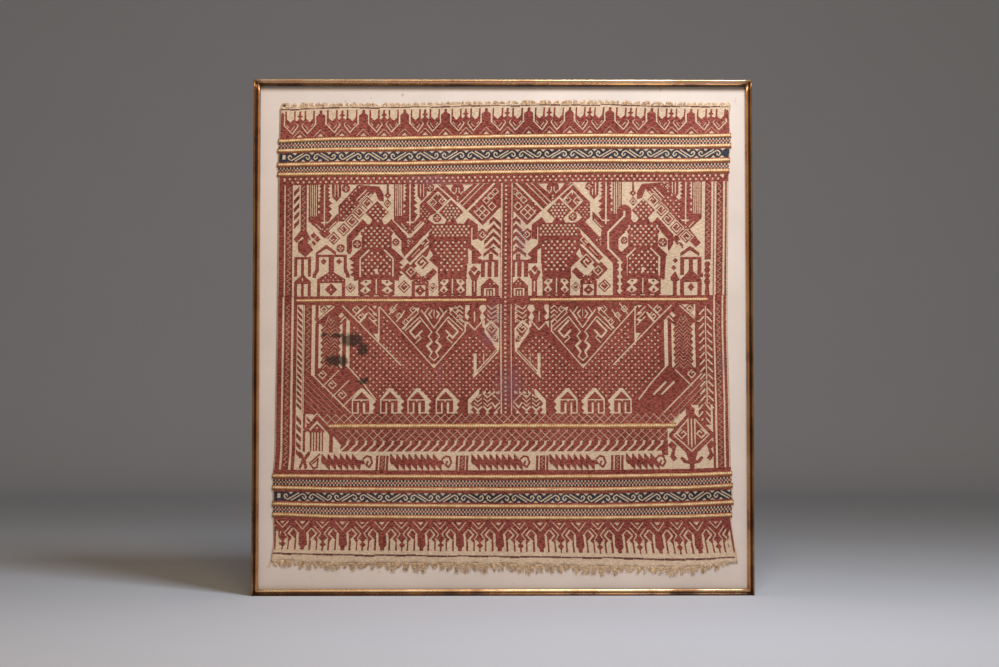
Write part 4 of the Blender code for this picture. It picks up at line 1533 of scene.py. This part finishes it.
def stained(tree, groups, colour, spills=0.85, lilac_tint=0.3):
    """A colour after the cloth's dark spills and lilac patches."""
    stain = node(tree, "ShaderNodeGroup", node_tree=groups["stain"])
    stain.inputs["Spill strength"].default_value = spills
    stain.inputs["Lilac strength"].default_value = lilac_tint
    tree.links.new(colour, stain.inputs["Clean colour"])
    return stain.outputs["Stained colour"]


DARK_SPILLS = (
    (-0.2397, 0.4017, 0.0225, 0.0125),
    (-0.2217, 0.3878, 0.0110, 0.0125),
    (-0.2610, 0.4086, 0.0130, 0.0044),
    (-0.2833, 0.4101, 0.0058, 0.0038),
    (-0.2650, 0.3690, 0.0190, 0.0095),
    (-0.2525, 0.3677, 0.0080, 0.0118),
    (-0.2203, 0.3369, 0.0085, 0.0066),
    (-0.3470, 0.7740, 0.0030, 0.0024),
)
LILAC_PATCHES = (
    (0.346, 0.366, 0.010, 0.022),
    (-0.012, 0.440, 0.020, 0.035),
    (-0.020, 0.405, 0.022, 0.016),
    (0.010, 0.330, 0.030, 0.040),
    (-0.115, 0.655, 0.050, 0.012),
    (-0.100, 0.352, 0.004, 0.030),
    (0.030, 0.560, 0.012, 0.050),
)


def dyed_cotton(name, colour, faded, deep, groups, bump=0.5, blotches=0.5, spills=0.85, streaks=1.0):
    """Floats of one dye: faded and deep tones in turn, streaked by thread."""
    made, tree, shader = new_material(name, 0.92)
    weave = node(tree, "ShaderNodeGroup", node_tree=groups["weave"])
    age = node(tree, "ShaderNodeGroup", node_tree=groups["age"])
    weave.inputs["Thread pitch"].default_value = 2 * math.pi / COTTON_PITCH
    age.inputs["Fine blotches"].default_value = blotches
    tone = ramp(tree, age.outputs["Fading"], ((0.34, deep), (0.48, colour), (0.64, faded)))
    streak = ramp(tree, weave.outputs["Shade"], ((0.40, (0.30, 0.27, 0.27)), (0.50, (1.0, 1.0, 1.0)),
                                                (0.61, (1.7, 1.65, 1.65))))
    tone = mix_colour(tree, streaks, tone, streak, "MULTIPLY")
    tree.links.new(stained(tree, groups, tone, spills), shader.inputs["Base Color"])
    bump_by(tree, shader, weave.outputs["Height"], bump, 0.4 * MM)
    shader.inputs["Sheen Weight"].default_value = 0.06
    shader.inputs["Specular IOR Level"].default_value = 0.2
    return made


def gold_weft(name, painted_highlight, painted_shade_side):
    """Thick weft wrapped with gilt strips, pale along a line just above its middle and orange-brown to dark
    at its sides: painted highlight and painted shade across the round weft, moved about a little by rubbed
    wear.
    """
    made, tree, shader = new_material(name, 0.5, 0.2)
    layout = node(tree, "ShaderNodeUVMap", uv_map="Along")
    apart = node(tree, "ShaderNodeSeparateXYZ")
    tree.links.new(layout.outputs["UV"], apart.inputs["Vector"])
    # Distance from a line just above the middle of the weft; the pale tone there is a painted highlight from
    # light above, and the darker sides are painted shade
    across = math_node(tree, "ABSOLUTE", math_node(tree, "SUBTRACT", apart.outputs["Y"], 0.57))
    rub = stretched_noise(tree, (1.0, 1.0, 2.0), 130.0, 3.0, 0.6)
    share = math_node(tree, "MULTIPLY_ADD", rub, 0.34, math_node(tree, "SUBTRACT", across, 0.17))
    middle = tuple((a + b) / 2 for a, b in zip(painted_highlight, painted_shade_side))
    tone = ramp(tree, share, ((0.03, painted_highlight), (0.11, middle), (0.20, painted_shade_side), (0.38, scaled(painted_shade_side, 0.55))))
    waver = stretched_noise(tree, (1.0, 1.0, 1.0), 120.0, 2.0)
    slant = math_node(tree, "MULTIPLY_ADD", apart.outputs["Y"], -4.5, math_node(
        tree, "MULTIPLY_ADD", apart.outputs["X"], 2 * math.pi / TIE_PITCH,
        math_node(tree, "MULTIPLY", waver, 7.0)))
    ties = math_node(tree, "SINE", slant)
    tie_shade = ramp(tree, math_node(tree, "MULTIPLY_ADD", ties, 0.5, 0.5),
                     ((0.0, (0.76, 0.68, 0.58)), (0.45, (0.97, 0.95, 0.92)), (1.0, (1.14, 1.14, 1.12))))
    tone = mix_colour(tree, 1.0, tone, tie_shade, "MULTIPLY")
    tree.links.new(tone, shader.inputs["Base Color"])
    fine = stretched_noise(tree, (1.0, 1.0, 1.0), 900.0, 2.0)
    height = math_node(tree, "MULTIPLY_ADD", ties, 0.35, fine)
    bump_by(tree, shader, height, 0.6, 0.3 * MM)
    return made


def rubbed_gilding(name, clay, dull_gold, bright_gold, groups, grain=0.25):
    """Gilding worn through to reddish clay."""
    made, tree, shader = new_material(name, 0.38, 0.7)
    rubbed = node(tree, "ShaderNodeGroup", node_tree=groups["wear"])
    rubbed.inputs["Grain"].default_value = grain
    wear = rubbed.outputs["Wear"]
    tone = ramp(tree, wear, ((0.46, clay), (0.56, dull_gold), (0.76, bright_gold)))
    tree.links.new(tone, shader.inputs["Base Color"])
    dull = ramp(tree, wear, ((0.46, (0.5, 0.5, 0.5)), (0.62, (0.27, 0.27, 0.27))))
    tree.links.new(dull, shader.inputs["Roughness"])
    bump_by(tree, shader, wear, 0.3, 0.3 * MM)
    return made


def board_linen(name, colour, groups):
    made, tree, shader = new_material(name, 0.95)
    weave = node(tree, "ShaderNodeGroup", node_tree=groups["weave"])
    weave.inputs["Thread pitch"].default_value = 2 * math.pi / LINEN_PITCH
    cloud = stretched_noise(tree, (1.0, 1.0, 1.0), 16.0, 3.0)
    tone = ramp(tree, cloud, ((0.3, scaled(colour, 0.95)), (0.7, tuple(min(c * 1.04, 1) for c in colour))))
    speck = stretched_noise(tree, (1.0, 1.0, 1.0), 110.0, 1.0)
    spots = ramp(tree, speck, ((0.74, (1.0, 1.0, 1.0)), (0.80, (0.78, 0.70, 0.62))))
    tone = mix_colour(tree, 1.0, tone, spots, "MULTIPLY")
    tree.links.new(tone, shader.inputs["Base Color"])
    bump_by(tree, shader, weave.outputs["Height"], 0.3, 0.25 * MM)
    return made


def plain_stage(name, colour):
    made, tree, shader = new_material(name, 0.85)
    cloud = stretched_noise(tree, (1.0, 1.0, 1.0), 4.0, 2.0)
    tone = ramp(tree, cloud, ((0.2, scaled(colour, 0.98)), (0.8, colour)))
    tree.links.new(tone, shader.inputs["Base Color"])
    return made


def shared_groups():
    found = bpy.data.node_groups
    weave = found.get("Woven threads") or weave_group()
    age = found.get("Aged dye") or age_group()
    stain = found.get("Old stains") or stain_group()
    wear = found.get("Rubbed gilding wear") or wear_group()
    return {"weave": weave, "age": age, "stain": stain, "wear": wear}


# Pieces

def moulding_profile(steps=14):
    """Outline of a rail's section as (inset from the outer edge, y), front side first."""
    points = []
    for start, end, front in ((0.0, RIM_WIDTH, FRAME_FRONT), (BEAD_START, FACE_WIDTH,
                                                              FRAME_FRONT + 0.5 * MM)):
        radius = (end - start) / 2
        for step in range(steps + 1):
            angle = math.pi * step / steps
            points.append((start + radius * (1 - math.cos(angle)), front + radius * (1 - math.sin(angle))))
        if start == 0.0:
            for share, drop in ((0.12, 1.7), (0.3, 2.15), (0.5, 2.25), (0.7, 2.2), (0.88, 2.35)):
                points.append((end + share * 2.7 * MM, FRAME_FRONT + drop * MM))
    lip_back = FRAME_FRONT + LIP_DEPTH
    rebate = FACE_WIDTH - REBATE_WIDTH
    points += [(FACE_WIDTH, lip_back), (rebate, lip_back),
               (rebate, FRAME_BACK - 0.4 * MM), (rebate - 0.4 * MM, FRAME_BACK),
               (0.5 * MM, FRAME_BACK), (0.0, FRAME_BACK - 0.5 * MM)]
    return points


def make_rail(name, length, place, lit_and_shaded_finishes):
    """A rail swept from its section, mitred, with small dents along its beads."""
    bm = bmesh.new()
    ring = [bm.verts.new((0.0, y, inset)) for inset, y in moulding_profile()]
    swept = bmesh.ops.extrude_face_region(bm, geom=[bm.faces.new(ring)], use_keep_orig=True)
    for vert in swept["geom"]:
        if isinstance(vert, bmesh.types.BMVert):
            vert.co.x = 1.0
    # The section's bands take the rail's colours in turn, 0 the outer bead, 1 the groove, 2 the inner bead
    # and 3 the faces set back from the front, so that each band carries its own painted highlight or painted
    # shade.
    for face in bm.faces:
        middle = face.calc_center_median()
        if middle.y > FRAME_FRONT + 3.4 * MM or middle.z < 0.0:
            face.material_index = 3
        elif middle.z < 2.9 * MM:
            face.material_index = 0
        else:
            face.material_index = 1 if middle.z < 5.8 * MM else 2
    long_edges = [edge for edge in bm.edges if abs(edge.verts[0].co.x - edge.verts[1].co.x) > 0.5]
    bmesh.ops.subdivide_edges(bm, edges=long_edges, cuts=70, use_grid_fill=False)
    for vert in bm.verts:
        inset, y = vert.co.z, vert.co.y
        reach = length / 2 - inset - MITRE_GAP
        along = reach * (2 * vert.co.x - 1)
        spot = place(along, inset, y)
        if y < FRAME_FRONT + 4 * MM and 0.0 < vert.co.x < 1.0:
            dent = noise.noise(spot * 45.0) * 0.14 + noise.noise(spot * 160.0) * 0.07
            spot.y += dent * MM
        vert.co = spot
    return finish_bmesh(name, bm, *lit_and_shaded_finishes)


def rail_places():
    middle, side = FRAME_HEIGHT / 2, FRAME_WIDTH / 2
    return (
        ("top", FRAME_WIDTH, lambda a, i, y: Vector((a, y, FRAME_HEIGHT - i))),
        ("bottom", FRAME_WIDTH, lambda a, i, y: Vector((a, y, i))),
        ("left", FRAME_HEIGHT, lambda a, i, y: Vector((i - side, y, middle + a))),
        ("right", FRAME_HEIGHT, lambda a, i, y: Vector((side - i, y, middle + a))),
    )


def make_ground(finish):
    bm = bmesh.new()
    columns, rows = 150, 156
    bmesh.ops.create_grid(bm, x_segments=columns, y_segments=rows, size=0.5)
    verts = list(bm.verts)
    u = np.array([vert.co.x + 0.5 for vert in verts]) * STEPS_ACROSS
    down = 0.5 - np.array([vert.co.y for vert in verts])
    ragged = np.sin(u * 0.21 + 1.0) * 0.8 + np.sin(u * 0.53) * 0.6 + np.sin(u * 1.37 + 2.0) * 0.5
    v = down * (LINE_ROWS[-2] + ragged * down ** 30)
    x, z = cloth_places(u, v)
    y = cloth_front(x, z)
    for vert, px, py, pz in zip(verts, x, y, z):
        vert.co = Vector((px, py, pz))
    thicken(bm, bm.faces[:], CLOTH_BACK)
    made = finish_bmesh("ground_cloth", bm, finish)
    add_planar_map(made.data)
    return made


def add_along_map(mesh, places):
    """A map that runs along the piece in metres and across it from 0 to 1."""
    layer = mesh.uv_layers.new(name="Along")
    for loop in mesh.loops:
        layer.data[loop.index].uv = places[loop.vertex_index]


def make_cord(name, v, start, end, half_width, rise, finish, seed):
    """A raised gold weft that lies along a chart row, from one place across to another."""
    chance = random.Random(seed)
    phase = [chance.uniform(0, 6.28) for _ in range(4)]
    columns, rows = 220, 8
    bm = bmesh.new()
    bmesh.ops.create_grid(bm, x_segments=columns, y_segments=rows, size=0.5)
    verts = list(bm.verts)
    share = np.array([vert.co.x + 0.5 for vert in verts])
    side = np.array([vert.co.y for vert in verts]) * 2
    left, _ = cloth_places([0.0], [v])
    right, _ = cloth_places([float(STEPS_ACROSS)], [v])
    low = left[0] - RIB_END_BULGE if start is None else start
    high = right[0] + RIB_END_BULGE if end is None else end
    u = (low + (high - low) * share - left[0]) / (right[0] - left[0]) * STEPS_ACROSS
    x, z = cloth_places(u, np.full_like(u, v))
    wander = 0.14 * np.sin(x * 48 + phase[0]) + 0.10 * np.sin(x * 131 + phase[1])
    swell = 1 + 0.05 * np.sin(x * 95 + phase[2]) + 0.04 * np.sin(x * 260 + phase[3])
    z = z + wander * MM + side * half_width * swell
    round_front = np.sqrt(np.clip(1 - side ** 2, 0, 1))
    y = cloth_front(x, z) + CORD_SINK - rise * round_front * swell
    for vert, px, py, pz in zip(verts, x, y, z):
        vert.co = Vector((px, py, pz))
    thicken(bm, bm.faces[:], CLOTH_BACK - 0.5 * MM)
    made = finish_bmesh(name, bm, finish)
    spots = []
    for vert in made.data.vertices:
        _, middle = cloth_places([(vert.co.x - left[0]) / (right[0] - left[0]) * STEPS_ACROSS], [v])
        spots.append((vert.co.x, (vert.co.z - middle[0]) / (2.2 * half_width) + 0.5))
    add_along_map(made.data, spots)
    return made


WORN_CORNER = 441               # chart step past which the bottom fringe is nearly lost
ROOT_OVERLAP = 1.2 * MM         # of a strand behind the weave
STRAND_STEPS = 5
TUFT_SPREAD = 7.0               # steps from a tuft's tip at which its strands are shortest


def strand_rings(path, radius, tip, sides=4):
    """Corners and faces of one tapered strand along a path of points."""
    corners, faces = [], []
    count = len(path)
    for k, (x, y, z) in enumerate(path):
        thick = radius + (tip - radius) * k / (count - 1)
        for s in range(sides):
            angle = 2 * math.pi * s / sides + 0.4
            corners.append((x + thick * math.cos(angle), y + thick * 0.8 * math.sin(angle), z))
    for k in range(count - 1):
        for s in range(sides):
            t = (s + 1) % sides
            faces.append((k * sides + s, k * sides + t, (k + 1) * sides + t, (k + 1) * sides + s))
    faces.append((0, 3, 2, 1))
    faces.append(tuple((count - 1) * sides + s for s in (0, 1, 2, 3)))
    return corners, faces


def make_fringe(name, root_row, tip_row, strands, seed, finish):
    """Cut warp ends along an edge of the weave, drawn together in curly tufts."""
    chance = random.Random(seed)
    way = 1 if tip_row < root_row else -1
    places, faces = [], []
    tuft_end, tuft_tip, tuft_reach = 0.0, 0.0, 1.0
    for k in range(strands):
        u = STEPS_ACROSS * (k + chance.uniform(0.1, 0.9)) / strands
        if u > tuft_end:
            wide = chance.uniform(2.0, 9.0)
            tuft_end = u + wide
            tuft_tip = u + wide * chance.uniform(0.1, 0.9)
            tuft_reach = chance.uniform(0.95, 1.15) if way > 0 else chance.choice((0.6, 0.8, 0.9, 1.0, 1.15))
        x, z = (value[0] for value in cloth_places([u], [root_row]))
        gather, tip = (value[0] for value in cloth_places([tuft_tip], [tip_row]))
        reach = abs(tip - z) * tuft_reach * chance.uniform(0.8, 1.1)
        reach *= 1.05 - 0.5 * min(abs(u - tuft_tip) / TUFT_SPREAD, 1.0)
        lean = (gather - x) * chance.uniform(0.2, 0.95) + reach * chance.gauss(0.0, 0.16)
        if way < 0 and k < 4:       # the first strands splay past the corner
            lean = -(8.0 - 2.0 * k) * MM
            reach = abs(tip - z) * 1.1
        if way < 0 and u > WORN_CORNER:
            reach *= 0.2
        y = CLOTH_BACK - chance.uniform(0.35, 1.5) * MM
        curl = chance.gauss(0.0, 0.75) * MM
        turn = chance.uniform(0.0, 6.28)
        path = []
        for step in range(STRAND_STEPS + 1):
            share = step / STRAND_STEPS
            path.append((x + lean * share ** 1.3 + curl * share * math.sin(5.0 * share + turn),
                         y + 0.12 * MM * math.sin(3 * share + k),
                         z - way * ROOT_OVERLAP + way * (reach + ROOT_OVERLAP) * share))
        corners, quads = strand_rings(path, chance.uniform(0.28, 0.46) * MM, 0.13 * MM)
        faces += [tuple(len(places) + c for c in quad) for quad in quads]
        places += corners
    return joined_mesh(name, np.array(places), np.array(faces), np.zeros(len(faces)), [finish])


FLOAT_BANDS = (
    ("upper_border_floats", 0.0, 32.0),
    ("upper_band_floats", 32.0, 77.0),
    ("upper_field_floats", 77.0, 192.0),
    ("middle_field_floats", 192.0, 308.0),
    ("lower_field_floats", 308.0, 368.0),
    ("lower_band_floats", 368.0, 413.0),
    ("lower_border_floats", 413.0, 458.0),
)


# Gildings, all lit and shaded copies of the one gilt moulding that carry painted highlight and painted shade
# in their tones: name, worn clay, dull gold and bright gold
LIT_AND_SHADED_GILDINGS = (
    # Painted highlight for the bands that face up: the top rail's outer bead and the bottom rail's inner bead
    ("bright gilding", (0.52, 0.27, 0.14), (0.78, 0.50, 0.26), (0.98, 0.76, 0.47)),
    # The side rails' inner bead, painted lighter than their outer bead and groove
    ("coppery gilding", (0.30, 0.11, 0.045), (0.54, 0.24, 0.09), (0.72, 0.38, 0.16)),
    # Painted shade for the top rail's inner bead, the bottom rail's groove and every face set back from the
    # front
    ("dusky gilding", (0.035, 0.015, 0.007), (0.08, 0.036, 0.014), (0.17, 0.09, 0.03)),
    # Nearly black painted shade for the side rails' grooves and the bottom rail's outer bead
    ("clay in the groove", (0.02, 0.009, 0.005), (0.05, 0.02, 0.01), (0.12, 0.05, 0.022)),
    # The top rail's groove, painted half lit as if from above
    ("tan clay", (0.48, 0.26, 0.17), (0.62, 0.38, 0.25), (0.74, 0.50, 0.33)),
    # Painted shade for the side rails' outer bead
    ("brown gilding", (0.10, 0.04, 0.016), (0.24, 0.11, 0.036), (0.42, 0.22, 0.075)),
)


# Settings that a user would change

class TampanFrameSettings(bpy.types.PropertyGroup):
    board_colour: bpy.props.FloatVectorProperty(
        name="Board linen", description="Colour of the linen that covers the board",
        default=(0.76, 0.69, 0.64), size=3, min=0.0, max=1.0, subtype="COLOR")


class TampanClothSettings(bpy.types.PropertyGroup):
    ground_colour: bpy.props.FloatVectorProperty(
        name="Ground cotton", description="Colour of the undyed ground weave",
        default=(0.68, 0.54, 0.39), size=3, min=0.0, max=1.0, subtype="COLOR")
    red_colour: bpy.props.FloatVectorProperty(
        name="Red-brown dye", description="Colour of the red-brown floats",
        default=(0.25, 0.063, 0.049), size=3, min=0.0, max=1.0, subtype="COLOR")
    navy_colour: bpy.props.FloatVectorProperty(
        name="Navy dye", description="Colour of the navy floats",
        default=(0.038, 0.044, 0.058), size=3, min=0.0, max=1.0, subtype="COLOR")
    float_rise: bpy.props.FloatProperty(
        name="Float rise", description="How far the floats stand above the ground weave",
        default=0.35 * MM, min=0.0001, max=0.001, precision=5, unit="LENGTH")
    rib_half_width: bpy.props.FloatProperty(
        name="Rib half width", description="Half the height of a thick gold rib",
        default=RIB_HALF_WIDTH, min=0.002, max=0.005, precision=5, unit="LENGTH")


class TampanStageSettings(bpy.types.PropertyGroup):
    floor_colour: bpy.props.FloatVectorProperty(
        name="Floor", description="Colour of the pale floor and backdrop",
        default=(0.68, 0.75, 0.86), size=3, min=0.0, max=1.0, subtype="COLOR")
    lens: bpy.props.FloatProperty(
        name="Lens", description="Focal length of the camera in millimetres on a 36 mm sensor",
        default=68.05, min=10.0, max=200.0, unit="CAMERA")


class GiltFrameOperator(bpy.types.Operator):
    """Make the four mitred rails of the gilt moulding"""
    bl_idname = "tampan.gilt_frame"
    bl_label = "Gilt frame"

    def execute(self, context):
        groups = shared_groups()
        # Lit and shaded copies of the one gilding, which paint highlight and shade into the rails
        bright, copper, painted_shade, clay, tan, brown = (
            rubbed_gilding(name, *tones, groups) for name, *tones in LIT_AND_SHADED_GILDINGS)
        # For each rail, the outer bead, groove and inner bead: painted highlight on the top rail's outer bead
        # and the bottom rail's inner bead, painted shade on the other bands, and the side rails' inner bead
        # painted lighter than the rest; every face set back from the front takes painted shade
        beads = {"top": (bright, tan, painted_shade), "bottom": (clay, painted_shade, bright),
                 "left": (brown, clay, copper), "right": (brown, clay, copper)}
        for side, length, place in rail_places():
            rail = make_rail(f"gilt_rail_{side}", length, place, (*beads[side], painted_shade))
            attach(rail, "root")
            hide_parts(f"frame_rail_{side}")
        return {"FINISHED"}


class LinenBoardOperator(bpy.types.Operator):
    """Give the board its pale linen"""
    bl_idname = "tampan.linen_board"
    bl_label = "Linen board"

    def execute(self, context):
        colour = tuple(context.scene.tampan_frame.board_colour)
        linen = board_linen("pale linen", colour, shared_groups())
        board = NODES["linen_board"]
        board.data.materials.clear()
        board.data.materials.append(linen)
        return {"FINISHED"}


class GroundClothOperator(bpy.types.Operator):
    """Make the plain cotton weave that carries the floats"""
    bl_idname = "tampan.ground_cloth"
    bl_label = "Ground cloth"

    def execute(self, context):
        colour = tuple(context.scene.tampan_cloth.ground_colour)
        cotton = dyed_cotton("undyed cotton", colour, scaled(colour, 1.12),
                             scaled(colour, 0.84), shared_groups(), bump=0.6, spills=0.8, streaks=0.3)
        ground = make_ground(cotton)
        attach(ground, "root")
        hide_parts("tampan_cloth")
        return {"FINISHED"}


class PatternFloatsOperator(bpy.types.Operator):
    """Chart the pattern and raise its red-brown, navy and plum floats"""
    bl_idname = "tampan.pattern_floats"
    bl_label = "Pattern floats"

    def execute(self, context):
        settings = context.scene.tampan_cloth
        groups = shared_groups()
        red = tuple(settings.red_colour)
        navy = tuple(settings.navy_colour)
        dyes = [
            dyed_cotton("red-brown floats", red, (red[0] * 1.3, red[1] * 1.5, red[2] * 1.5),
                        (red[0] * 0.66, red[1] * 0.58, red[2] * 0.6), groups),
            dyed_cotton("navy floats", navy, scaled(navy, 1.6), scaled(navy, 0.6), groups),
            dyed_cotton("plum wefts", (0.13, 0.050, 0.048), (0.20, 0.085, 0.08), (0.07, 0.03, 0.03), groups),
        ]
        cells = draw_chart()
        for name, v0, v1 in FLOAT_BANDS:
            piece = raise_floats(name, cells, v0, v1, (RED, NAVY, PLUM), dyes, settings.float_rise)
            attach(piece, "root")
        return {"FINISHED"}


class GoldRibsOperator(bpy.types.Operator):
    """Lay the eight thick gold ribs and the three thin gold lines"""
    bl_idname = "tampan.gold_ribs"
    bl_label = "Gold ribs"

    def execute(self, context):
        # The pale colour is the painted highlight along each rib just above its middle, the orange-brown its
        # painted shade at the sides
        gold = gold_weft("gilt weft", (0.88, 0.72, 0.47), (0.46, 0.21, 0.07))
        half = context.scene.tampan_cloth.rib_half_width
        for k, rib in enumerate(RIBS):
            piece = make_cord(f"gold_{rib}", WEFT_LINES[rib][0], None, None, half, RIB_RISE, gold, k)
            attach(piece, "root")
        for k, (v, start, end, half) in enumerate(THIN_GOLD_LINES):
            piece = make_cord(f"thin_gold_line_{k + 1}", v, start, end, half, THIN_LINE_RISE, gold, 20 + k)
            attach(piece, "root")
        return {"FINISHED"}


class FringesOperator(bpy.types.Operator):
    """Fray the cut warp ends along the top and bottom edges"""
    bl_idname = "tampan.fringes"
    bl_label = "Fringes"

    def execute(self, context):
        colour = (0.76, 0.57, 0.36)
        cotton = dyed_cotton("frayed cotton", colour, (0.88, 0.70, 0.48), (0.50, 0.33, 0.18),
                             shared_groups(),
                             bump=0.3, blotches=0.8, streaks=0.6)
        for name, root, tips, strands, seed in (
                ("frayed_top", "woven_top", "top_fringe_tips", 2100, 5),
                ("frayed_bottom", "woven_bottom", "bottom_fringe_tips", 1900, 11)):
            piece = make_fringe(name, WEFT_LINES[root][0], WEFT_LINES[tips][0], strands, seed, cotton)
            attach(piece, "root")
            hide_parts(name.replace("frayed", "fringe"))
        return {"FINISHED"}


def aim(light, target):
    way = Vector(target) - light.location
    light.rotation_euler = way.to_track_quat("-Z", "Y").to_euler()


def add_light(name, location, target, size, power, colour):
    data = bpy.data.lights.new(name, "AREA")
    data.size = size
    data.energy = power
    data.color = colour
    light = bpy.data.objects.new(name, data)
    bpy.context.scene.collection.objects.link(light)
    light.location = location
    aim(light, target)
    return light


class StageOperator(bpy.types.Operator):
    """Set the pale floor and backdrop, the camera and the lights"""
    bl_idname = "tampan.stage"
    bl_label = "Stage"

    def execute(self, context):
        settings = context.scene.tampan_stage
        paper = plain_stage("pale paper", tuple(settings.floor_colour))
        bm = bmesh.new()
        bmesh.ops.create_grid(bm, x_segments=60, y_segments=60, size=7.0)
        for vert in bm.verts:
            if vert.co.y > BACKDROP_START:
                climb = vert.co.y - BACKDROP_START
                vert.co.z = climb * climb / (climb + BACKDROP_CURVE)
                vert.co.y = BACKDROP_START + BACKDROP_CURVE * climb / (climb + BACKDROP_CURVE)
        sweep = finish_bmesh("paper_sweep", bm, paper)
        data = bpy.data.cameras.new("photo camera")
        data.lens = settings.lens
        data.sensor_width = 36.0
        camera = bpy.data.objects.new("photo camera", data)
        context.scene.collection.objects.link(camera)
        pitch, yaw, roll = CAMERA_TURNS
        ahead = Vector((math.sin(yaw) * math.cos(pitch), math.cos(yaw) * math.cos(pitch), math.sin(pitch)))
        right = ahead.cross(Vector((0, 0, 1))).normalized()
        up = right.cross(ahead)
        right, up = right * math.cos(roll) + up * math.sin(roll), up * math.cos(roll) - right * math.sin(roll)
        turn = Matrix((right, up, -ahead)).transposed().to_4x4()
        camera.matrix_world = Matrix.Translation(CAMERA_PLACE) @ turn
        context.scene.camera = camera
        add_light("warm key", (0.1, -3.0, 2.2), (0.0, 0.0, 0.4), 0.9, 30.0, (1.0, 0.62, 0.30))
        add_light("white top light", (0.4, -0.95, 1.6), (0.05, 0.0, 0.6), 0.5, 19.0, (0.92, 0.95, 1.0))
        world = bpy.data.worlds.new("soft room")
        world.use_nodes = True
        background = world.node_tree.nodes["Background"]
        background.inputs["Color"].default_value = (1.0, 0.85, 0.70, 1.0)
        background.inputs["Strength"].default_value = 0.10
        context.scene.world = world
        context.scene.view_settings.view_transform = "Standard"
        return {"FINISHED"}


class TampanPanel(bpy.types.Panel):
    """Buttons and settings for the framed cloth"""
    bl_idname = "VIEW3D_PT_tampan"
    bl_label = "Tampan cloth"
    bl_space_type = "VIEW_3D"
    bl_region_type = "UI"
    bl_category = "Tampan"

    def draw(self, context):
        layout = self.layout
        for settings in (context.scene.tampan_frame, context.scene.tampan_cloth, context.scene.tampan_stage):
            for key in settings.__annotations__:
                layout.prop(settings, key)
        for operator in OPERATORS:
            layout.operator(operator.bl_idname)


SETTINGS = {
    "tampan_frame": TampanFrameSettings,
    "tampan_cloth": TampanClothSettings,
    "tampan_stage": TampanStageSettings,
}
OPERATORS = (StageOperator, GiltFrameOperator, LinenBoardOperator, GroundClothOperator,
             PatternFloatsOperator, GoldRibsOperator, FringesOperator)


def register():
    for made in (*SETTINGS.values(), *OPERATORS, TampanPanel):
        bpy.utils.register_class(made)
    for key, made in SETTINGS.items():
        setattr(bpy.types.Scene, key, bpy.props.PointerProperty(type=made))


def unregister():
    for key in SETTINGS:
        delattr(bpy.types.Scene, key)
    for made in reversed((*SETTINGS.values(), *OPERATORS, TampanPanel)):
        bpy.utils.unregister_class(made)


def main():
    register()
    for operator in OPERATORS:
        group, name = operator.bl_idname.split(".")
        getattr(getattr(bpy.ops, group), name)()


if __name__ == "__main__":
    main()
